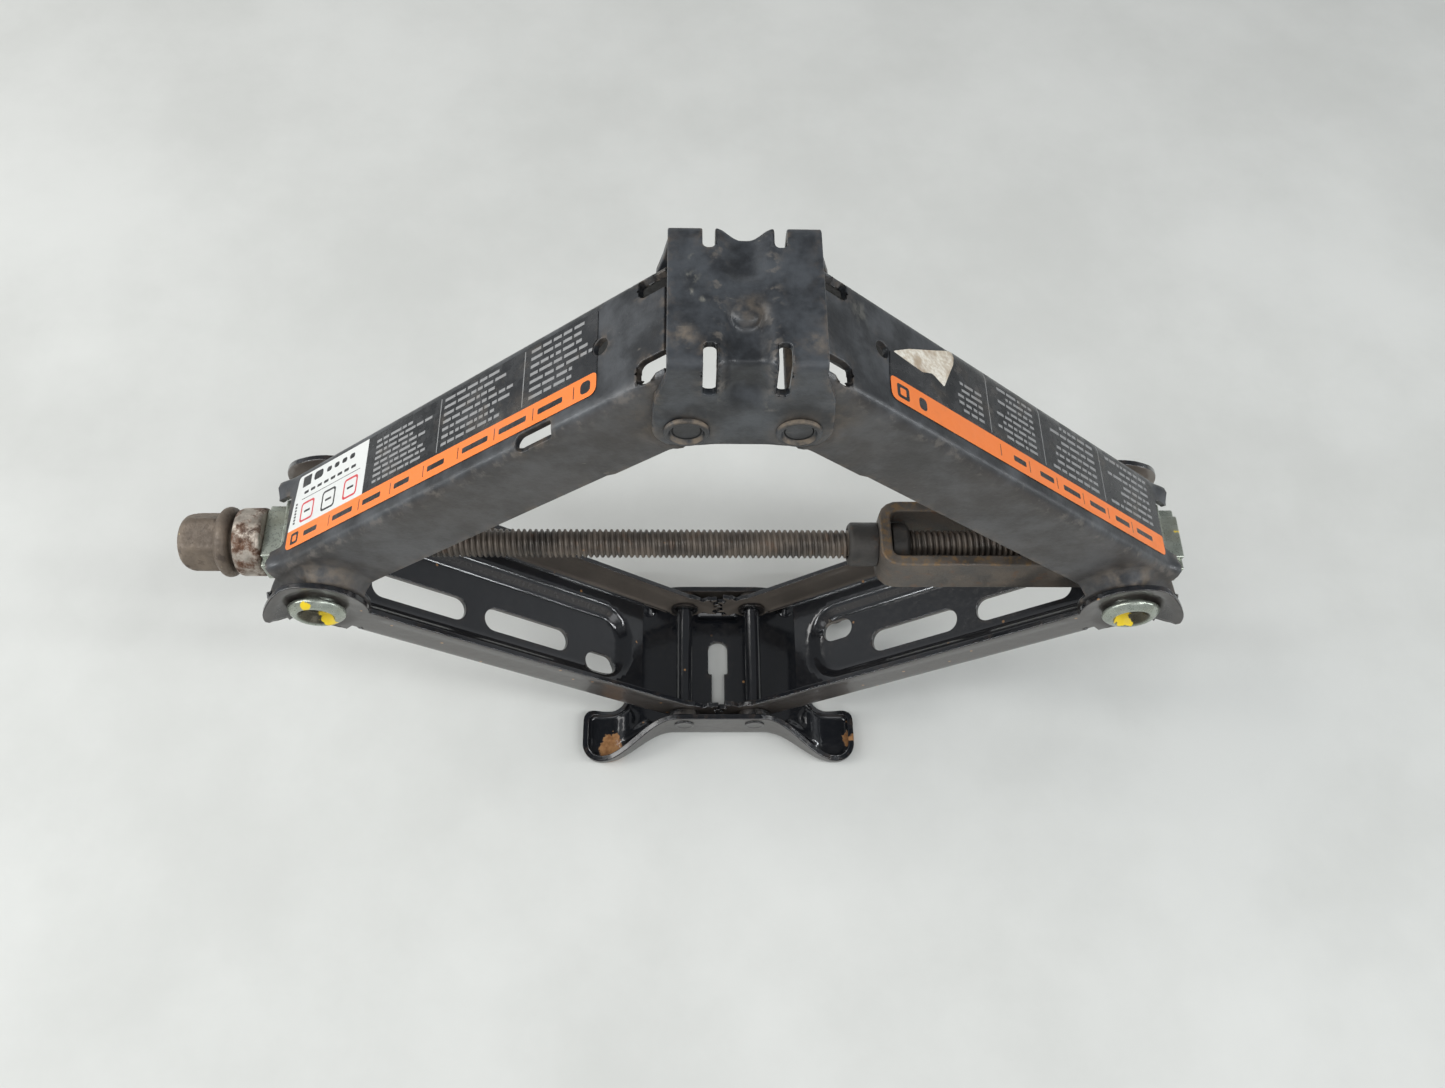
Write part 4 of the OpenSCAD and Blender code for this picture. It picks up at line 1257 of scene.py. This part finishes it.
def journal(look, inner):
    """One journal with its formed head: a flange that closes over the arm, with a deep round recess."""
    head = [(0.0, 8.0), (0.0, 11.3), (0.6, 11.5), (1.5, 11.3), (2.7, 10.0), (3.5, 8.6), (3.5, 7.6),
            (2.4, 6.6), (0.4, 5.2), (-0.4, 4.2), (-0.5, 0.0)]
    profile = [(inner, 0.0), (inner, 8.0)] + [(HEAD_FACE + x, radius) for x, radius in head]
    return lathe("journal", turned(profile, 0.6), [look], axis="y", segments=48)


def trunnion(name, body, node, side, half_width, neck_half, look, lip=None):
    """A block between the arms that the screw runs through, with a journal on each side."""
    def stepped(back):
        """The block's outline in (x, z) from its back, with a lower step at its front."""
        return [(side * x, z) for x, z in (
            (back, -BLOCK_TALL), (BLOCK_REACH, -BLOCK_TALL), (BLOCK_REACH, -STEP_TALL),
            (BLOCK_STEP, -STEP_TALL), (BLOCK_STEP, STEP_TALL), (BLOCK_REACH, STEP_TALL),
            (BLOCK_REACH, BLOCK_TALL), (back, BLOCK_TALL))]

    neck = [(side * x, z) for x, z in ((13, -NECK_TALL), (BLOCK_STEP, -NECK_TALL), (BLOCK_STEP, NECK_TALL),
                                       (13, NECK_TALL))]
    parts = [prism("block", stepped(-11.5), -half_width, half_width, [look]),
             prism("neck", neck, -neck_half, neck_half, [look])]
    for m in (-1, 1) if lip else ():
        y0, y1 = sorted((m * (half_width - 1), m * lip))
        parts.append(prism("shoulder", stepped(12.5), y0, y1, [look]))
    bore = SCREW_RADIUS + 0.3
    for part in parts:
        cut(part, lathe("bore", [(-40, 0), (-40, bore), (40, bore), (40, 0)], [look]))
        soften(part, 0.8, angle=30, segments=3)
        settle(part, Matrix.Identity(4))
    for m in (-1, 1):
        end = journal(look, half_width - 1)
        if m < 0:
            end.data.transform(Matrix.Scale(-1, 4, (0, 1, 0)))
            end.data.flip_normals()
        parts.append(end)
    hand_over(join(name, parts), at(side * SIDE_PIVOT.x, 0, SIDE_PIVOT.z), body, node)


def yoke(look):
    """A thick strap bent into a U: its legs hold the right trunnion and its web holds the nut."""
    strap, half, bend, tall = 5.0, 15.0, 8.0, 10.8
    fold = Channel(half, bend, YOKE_REACH, 1)
    end = fold.v(0)
    adds = [box(-tall, -end, tall, end), circle(0, -end, tall), circle(0, end, tall)]
    cuts = [circle(0, 0, 7.4), circle(0, -end, 8.0), circle(0, end, 8.0)]

    def shape(u, v):
        points = fold.place(u, v, np.zeros(len(u)))
        # Along the strap's web is the jack's -X, and the blank's u is the jack's height
        return np.stack([-points[:, 2], points[:, 1], points[:, 0]], axis=1)

    rows = fold.rows(0, 3.0) + [s * (end + k * 3.0) for s in (-1, 1) for k in (1, 2, 3)]
    piece = sheet("yoke_strap", adds, cuts, shape, strap, [look], spacing=3.0, rows=sorted(rows), grow=-1,
                  edge=1.1)
    hand_over(piece, at(SIDE_PIVOT.x, 0, SIDE_PIVOT.z), "right_block", "yoke")


def nut(look):
    """The drive nut: a collar outside the yoke, a neck through it and a disc inside."""
    bore = SCREW_RADIUS + 0.1
    shape = [(-12.1, bore), (-12.1, 8.0), (-11.0, 9.2), (0.0, 9.2), (0.0, 7.3), (5.8, 7.3), (5.8, 8.9),
             (11.8, 8.9), (13.0, 7.6), (13.0, bore), (-12.1, bore)]
    profile = [(x - YOKE_REACH, radius) for x, radius in shape]
    piece = lathe("drive_nut_collar", turned(profile, 0.5), [look], segments=44)
    hand_over(piece, at(SIDE_PIVOT.x, 0, SIDE_PIVOT.z), "right_block", "drive_nut")


def screw(look):
    """The screw, with its rolled thread as a true helix."""
    per_turn, segments = 8, 28
    step = THREAD_PITCH / per_turn
    count = int((SCREW_END - SCREW_START) / step)
    vertices, faces = [], []
    for i in range(count + 1):
        x = SCREW_START + i * step
        end = min(1.0, (SCREW_END - x) / 2.0 + 0.35, (x - SCREW_START) / 3.0 + 0.6)
        for k in range(segments):
            phase = (x / THREAD_PITCH - k / segments) % 1.0
            ridge = 1 - abs(2 * phase - 1)
            crest = min(1.0, max(0.0, (ridge - 0.18) / 0.55))
            depth = THREAD_DEPTH * (1 - crest * crest * (3 - 2 * crest)) * (x > PLAIN_SHANK)
            r = (SCREW_RADIUS - 0.05 - depth) * (0.75 + 0.25 * end)
            angle = 2 * math.pi * k / segments
            vertices.append((x, r * math.cos(angle), r * math.sin(angle)))
    for i in range(count):
        for k in range(segments):
            j = (k + 1) % segments
            a, b = i * segments, (i + 1) * segments
            faces.append((a + k, b + k, b + j, a + j))
    faces += [tuple(range(segments)), tuple(range((count + 1) * segments - 1, count * segments - 1, -1))]
    piece = face_outwards(new_object("threaded_screw", vertices, faces, [look]))
    hand_over(piece, at(-SIDE_PIVOT.x, 0, SIDE_PIVOT.z), "spindle", "screw")


def drive_head(look):
    """The hexagon head with rounded corners and a domed end, and the flange collar behind it."""
    hexagon = [(-58.0, 0.0), (-58.0, 7.6), (-57.2, 9.6), (-55.4, 11.2), (-52.6, 12.15), (-41.1, 12.2)]
    head = lathe("head", turned(hexagon, 1.0), [look], segments=96, hexagon=22.0, turn=11)
    collar = [(-42.6, 0.0), (-42.6, 11.6), (-41.6, 13.0), (-40.4, 14.2), (-38.8, 14.5), (-37.4, 14.1),
              (-36.5, 12.6), (-36.5, 10.0), (-30.5, 10.0), (-30.5, 0.0)]
    flange = lathe("collar", turned(collar, 0.6), [look], segments=64)
    hand_over(join("hex_drive_head", [head, flange]), at(-SIDE_PIVOT.x, 0, SIDE_PIVOT.z), "spindle",
              "drive_head")


def bearing_cup(look):
    """The sleeve over the thrust bearing, rolled in at its open end."""
    profile = [(-25.0, 6.4), (-25.0, 12.2), (-33.2, 12.2), (-34.5, 12.9), (-34.4, 13.4), (-33.0, 14.0),
               (-24.6, 14.0), (-23.6, 13.2), (-23.5, 12.0), (-23.5, 6.4), (-25.0, 6.4)]
    piece = lathe("bearing_sleeve", turned(profile, 0.45), [look], segments=64)
    hand_over(piece, at(-SIDE_PIVOT.x, 0, SIDE_PIVOT.z), "left_block", "bearing_cup")


# ---------------------------------------------------------------- everything together
def build_jack():
    front_foot = (-BASE_LENGTH + 15, -BASE_DEPTH + 8, 0)
    side_foot = (BASE_LENGTH - 1, -BASE_DEPTH + 13, 3)
    base_look = glossy_paint("base_dip_paint", 0.31, 0.36, [(front_foot, 14), (side_foot, 7)])
    lower_look = glossy_paint("lower_arm_dip_paint", 0.36, 0.9)
    boss = TOP_PIVOT.x
    brow_x, brow_y, brow_z = SIDE_PIVOT.x - 5, -UPPER_HALF - 3, SIDE_PIVOT.z + 15
    upper_look = satin_paint("upper_arm_satin_paint", 0.30, 1.0, [
        ((s * (boss + 3), -UPPER_HALF, TOP_PIVOT.z + 1), 21, 0.95) for s in (-1, 1)] + [
        ((s * brow_x, brow_y, brow_z), 19, 1.0) for s in (-1, 1)], [
        ((boss + 17, 12, TOP_PIVOT.z + 8), 9)], worn=(0.060, 0.064, 0.070))
    saddle_top = TOP_PIVOT.z + SADDLE_TOP
    saddle_look = satin_paint("saddle_satin_paint", 0.03, 1.2, [
        ((1, -4.5, saddle_top - 2), 8, 0.75), ((-boss, -SADDLE_HALF, TOP_PIVOT.z), 13, 0.8),
        ((boss, -SADDLE_HALF, TOP_PIVOT.z), 13, 0.8), ((-19, -14.5, saddle_top), 6.5, 0.9),
        ((20, -17, saddle_top), 5.5, 1.0)],
        [((-15.6, 14, saddle_top), 2.2), ((-16.4, 6.5, saddle_top), 4.0), ((-16.4, 1, saddle_top), 2.0),
         ((-13, -1.5, saddle_top), 1.6)], worn=(0.058, 0.064, 0.072))
    dark = grimy_steel("dark_pin_steel", (0.018, 0.018, 0.019), (0.05, 0.042, 0.036), 0.32, 0.1, 0.5)
    pin_dip = glossy_paint("base_pin_dip_paint", 0.25, 0.25)
    pin_paint = satin_paint("saddle_pin_paint", 0.10, 1.0, ledge=0.85)
    oiled = grimy_steel("oiled_strap_steel", (0.078, 0.070, 0.062), (0.145, 0.120, 0.097), 0.5, 0.3, 0.3, 0.7)
    nut_steel = grimy_steel("drive_nut_steel", (0.034, 0.032, 0.030), (0.064, 0.058, 0.052), 0.5, 0.15, 0.3)
    thread = grimy_steel("screw_thread_steel", (0.082, 0.072, 0.063), (0.180, 0.148, 0.120), 0.42, 0.2, 0.45)
    head = head_steel("tarnished_head_steel")
    sleeve = rusty_steel("rusty_sleeve_steel")
    z = SIDE_PIVOT.z
    head_y = HEAD_FACE + 2.0
    heads = [[(side * SIDE_PIVOT.x, m * head_y, z) for m in (-1, 1)] for side in (-1, 1)]
    dabs = [((x + 3.4, y, z - 6.0), 6.2) for x, y, _ in heads[0]]
    dabs += [((x - 1.5, y, z + 9), 3.2) for x, y, _ in heads[0]]
    left_zinc = zinc_plate("left_zinc_plate", dabs, heads[0])
    dabs = [((x - 1.5, y, z - 4.6), 5.6) for x, y, _ in heads[1]]
    dabs.append(((SIDE_PIVOT.x + BLOCK_STEP, 0, z + 4), 6))
    right_zinc = zinc_plate("right_zinc_plate", dabs, heads[1])

    base_plate(base_look)
    for side, name in ((-1, "left"), (1, "right")):
        pin(f"base_pivot_pin_{name}", "base", f"base_pin_{name}", side * BASE_PIVOT.x, BASE_PIVOT.z,
            BASE_WAIST, 5.0, 0.8, 0.2, pin_dip)
        pin(f"saddle_pivot_pin_{name}", "saddle", f"saddle_pin_{name}", side * TOP_PIVOT.x, TOP_PIVOT.z,
            SADDLE_HALF + 0.7, 7.4, 1.5, 1.5, pin_paint)
    washers(dark)
    lower_arm("lower_left_arm_pressing", "lower_left", "lower_left_arm", -1, 112, 4, -1, lower_look)
    lower_arm("lower_right_arm_pressing", "lower_right", "lower_right_arm", 1, 103, 5, 1, lower_look)
    upper_arm("upper_left_arm_pressing", "upper_left", "upper_left_arm", -1, -77, 5, True, upper_look)
    upper_arm("upper_right_arm_pressing", "upper_right", "upper_right_arm", 1, -68, 4, False, upper_look)
    film = print_look("label_black_film", (0.010, 0.011, 0.013), 0.22, 0.25)
    orange = print_look("label_orange_ink", (0.90, 0.215, 0.035), 0.34, 0.12, 0.05)
    white = print_look("label_white_ink", (0.70, 0.71, 0.69), 0.4, 0.10, 0.05)
    grey = print_look("label_grey_ink", (0.27, 0.27, 0.27), 0.4, 0.5, 0.4)
    red = print_look("label_red_ink", (0.60, 0.03, 0.04), 0.4, 0.1)
    left_label([film, orange, white, grey, red])
    right_label([film, orange, torn_paper("label_torn_fibres"), grey])
    saddle_plate(saddle_look)
    trunnion("left_trunnion_block", "left_block", "left_trunnion", -1, 14.0, 10.6, left_zinc)
    trunnion("right_trunnion_block", "right_block", "right_trunnion", 1, 10.0, 9.7, right_zinc, lip=14.0)
    yoke(oiled)
    nut(nut_steel)
    screw(thread)
    drive_head(head)
    bearing_cup(sleeve)
    steel = bearing_look("greased_bearing_steel")
    for node in ("inner_race", "outer_race", "bearing_balls"):
        kept = frame["nodes"][node]
        kept.data.materials.clear()
        kept.data.materials.append(steel)


def build_stage():
    """Pale floor, soft daylight from above and the camera at the front, high up."""
    size = 6.0
    floor = new_object("studio_floor",
                       [(-size, -size, 0), (size, -size, 0), (size, size, 0), (-size, size, 0)],
                       [(0, 1, 2, 3)], [floor_look("pale_floor")])
    world = bpy.data.worlds.new("soft_studio")
    bpy.context.scene.world = world
    world.use_nodes = True
    tree = world.node_tree
    # Bright walls all round, a dimmer ceiling
    height = tree.nodes.new("ShaderNodeSeparateXYZ")
    tree.links.new(tree.nodes.new("ShaderNodeTexCoord").outputs["Generated"], height.inputs[0])
    ramp = tree.nodes.new("ShaderNodeMapRange")
    ramp.interpolation_type = "SMOOTHSTEP"
    for key, value in (("From Min", 0.0), ("From Max", 0.6), ("To Min", 0.62), ("To Max", 0.25)):
        ramp.inputs[key].default_value = value
    tree.links.new(height.outputs[2], ramp.inputs["Value"])
    tree.links.new(ramp.outputs[0], tree.nodes["Background"].inputs["Strength"])
    tree.nodes["Background"].inputs["Color"].default_value = (0.94, 0.97, 1.0, 1.0)
    for name, place, size_x, size_y, power, tint in (
            ("window_panel", (-1.25, 0.15, 1.25), 1.0, 0.8, 14, (1.0, 0.99, 0.97)),
            ("front_panel", (0.45, -1.25, 1.15), 1.1, 0.5, 3.5, (0.97, 0.98, 1.0)),
            ("left_tube", (-0.68, -0.42, 1.25), 0.8, 0.11, 4, (0.97, 0.99, 1.0)),
            ("right_tube", (0.78, -0.42, 1.22), 0.8, 0.11, 6, (0.97, 0.99, 1.0)),
            ("left_strip", (-1.42, -0.28, 0.64), 0.6, 0.09, 5, (0.93, 0.97, 1.0)),
            ("right_strip", (1.42, -0.26, 0.62), 0.6, 0.09, 5, (0.93, 0.97, 1.0))):
        light = bpy.data.lights.new(name, "AREA")
        light.shape, light.size, light.size_y = "RECTANGLE", size_x, size_y
        light.energy, light.color = power, tint
        lamp = bpy.data.objects.new(name, light)
        bpy.context.scene.collection.objects.link(lamp)
        # Its long side stays along the jack
        back = (Vector(place) - Vector((0, 0, 0.12))).normalized()
        across = (Vector((1, 0, 0)) - back * back.x).normalized()
        turn = Matrix((across, back.cross(across), back)).transposed().to_4x4()
        lamp.matrix_world = Matrix.Translation(place) @ turn


def build_camera():
    """A phone's wide lens, held above the front of the jack and tipped steeply down."""
    data = bpy.data.cameras.new("front_camera")
    data.sensor_width, data.lens = 36.0, 29.55
    data.clip_start, data.clip_end = 0.01, 20.0
    camera = bpy.data.objects.new("front_camera", data)
    bpy.context.scene.collection.objects.link(camera)
    down, heading, roll = math.radians(63.02), math.radians(4.22), math.radians(3.98)
    forward = Vector((math.sin(heading) * math.cos(down), math.cos(heading) * math.cos(down),
                      -math.sin(down)))
    right = Vector((math.cos(heading), -math.sin(heading), 0))
    up = right.cross(forward)
    level_right = right * math.cos(roll) + up * math.sin(roll)
    level_up = up * math.cos(roll) - right * math.sin(roll)
    turn = Matrix((level_right, level_up, -forward)).transposed().to_4x4()
    camera.matrix_world = Matrix.Translation(Vector((-18.51, -223.52, 585.02)) * MM) @ turn
    bpy.context.scene.camera = camera
    bpy.context.scene.view_settings.view_transform = "Standard"


build_jack()
build_stage()
build_camera()
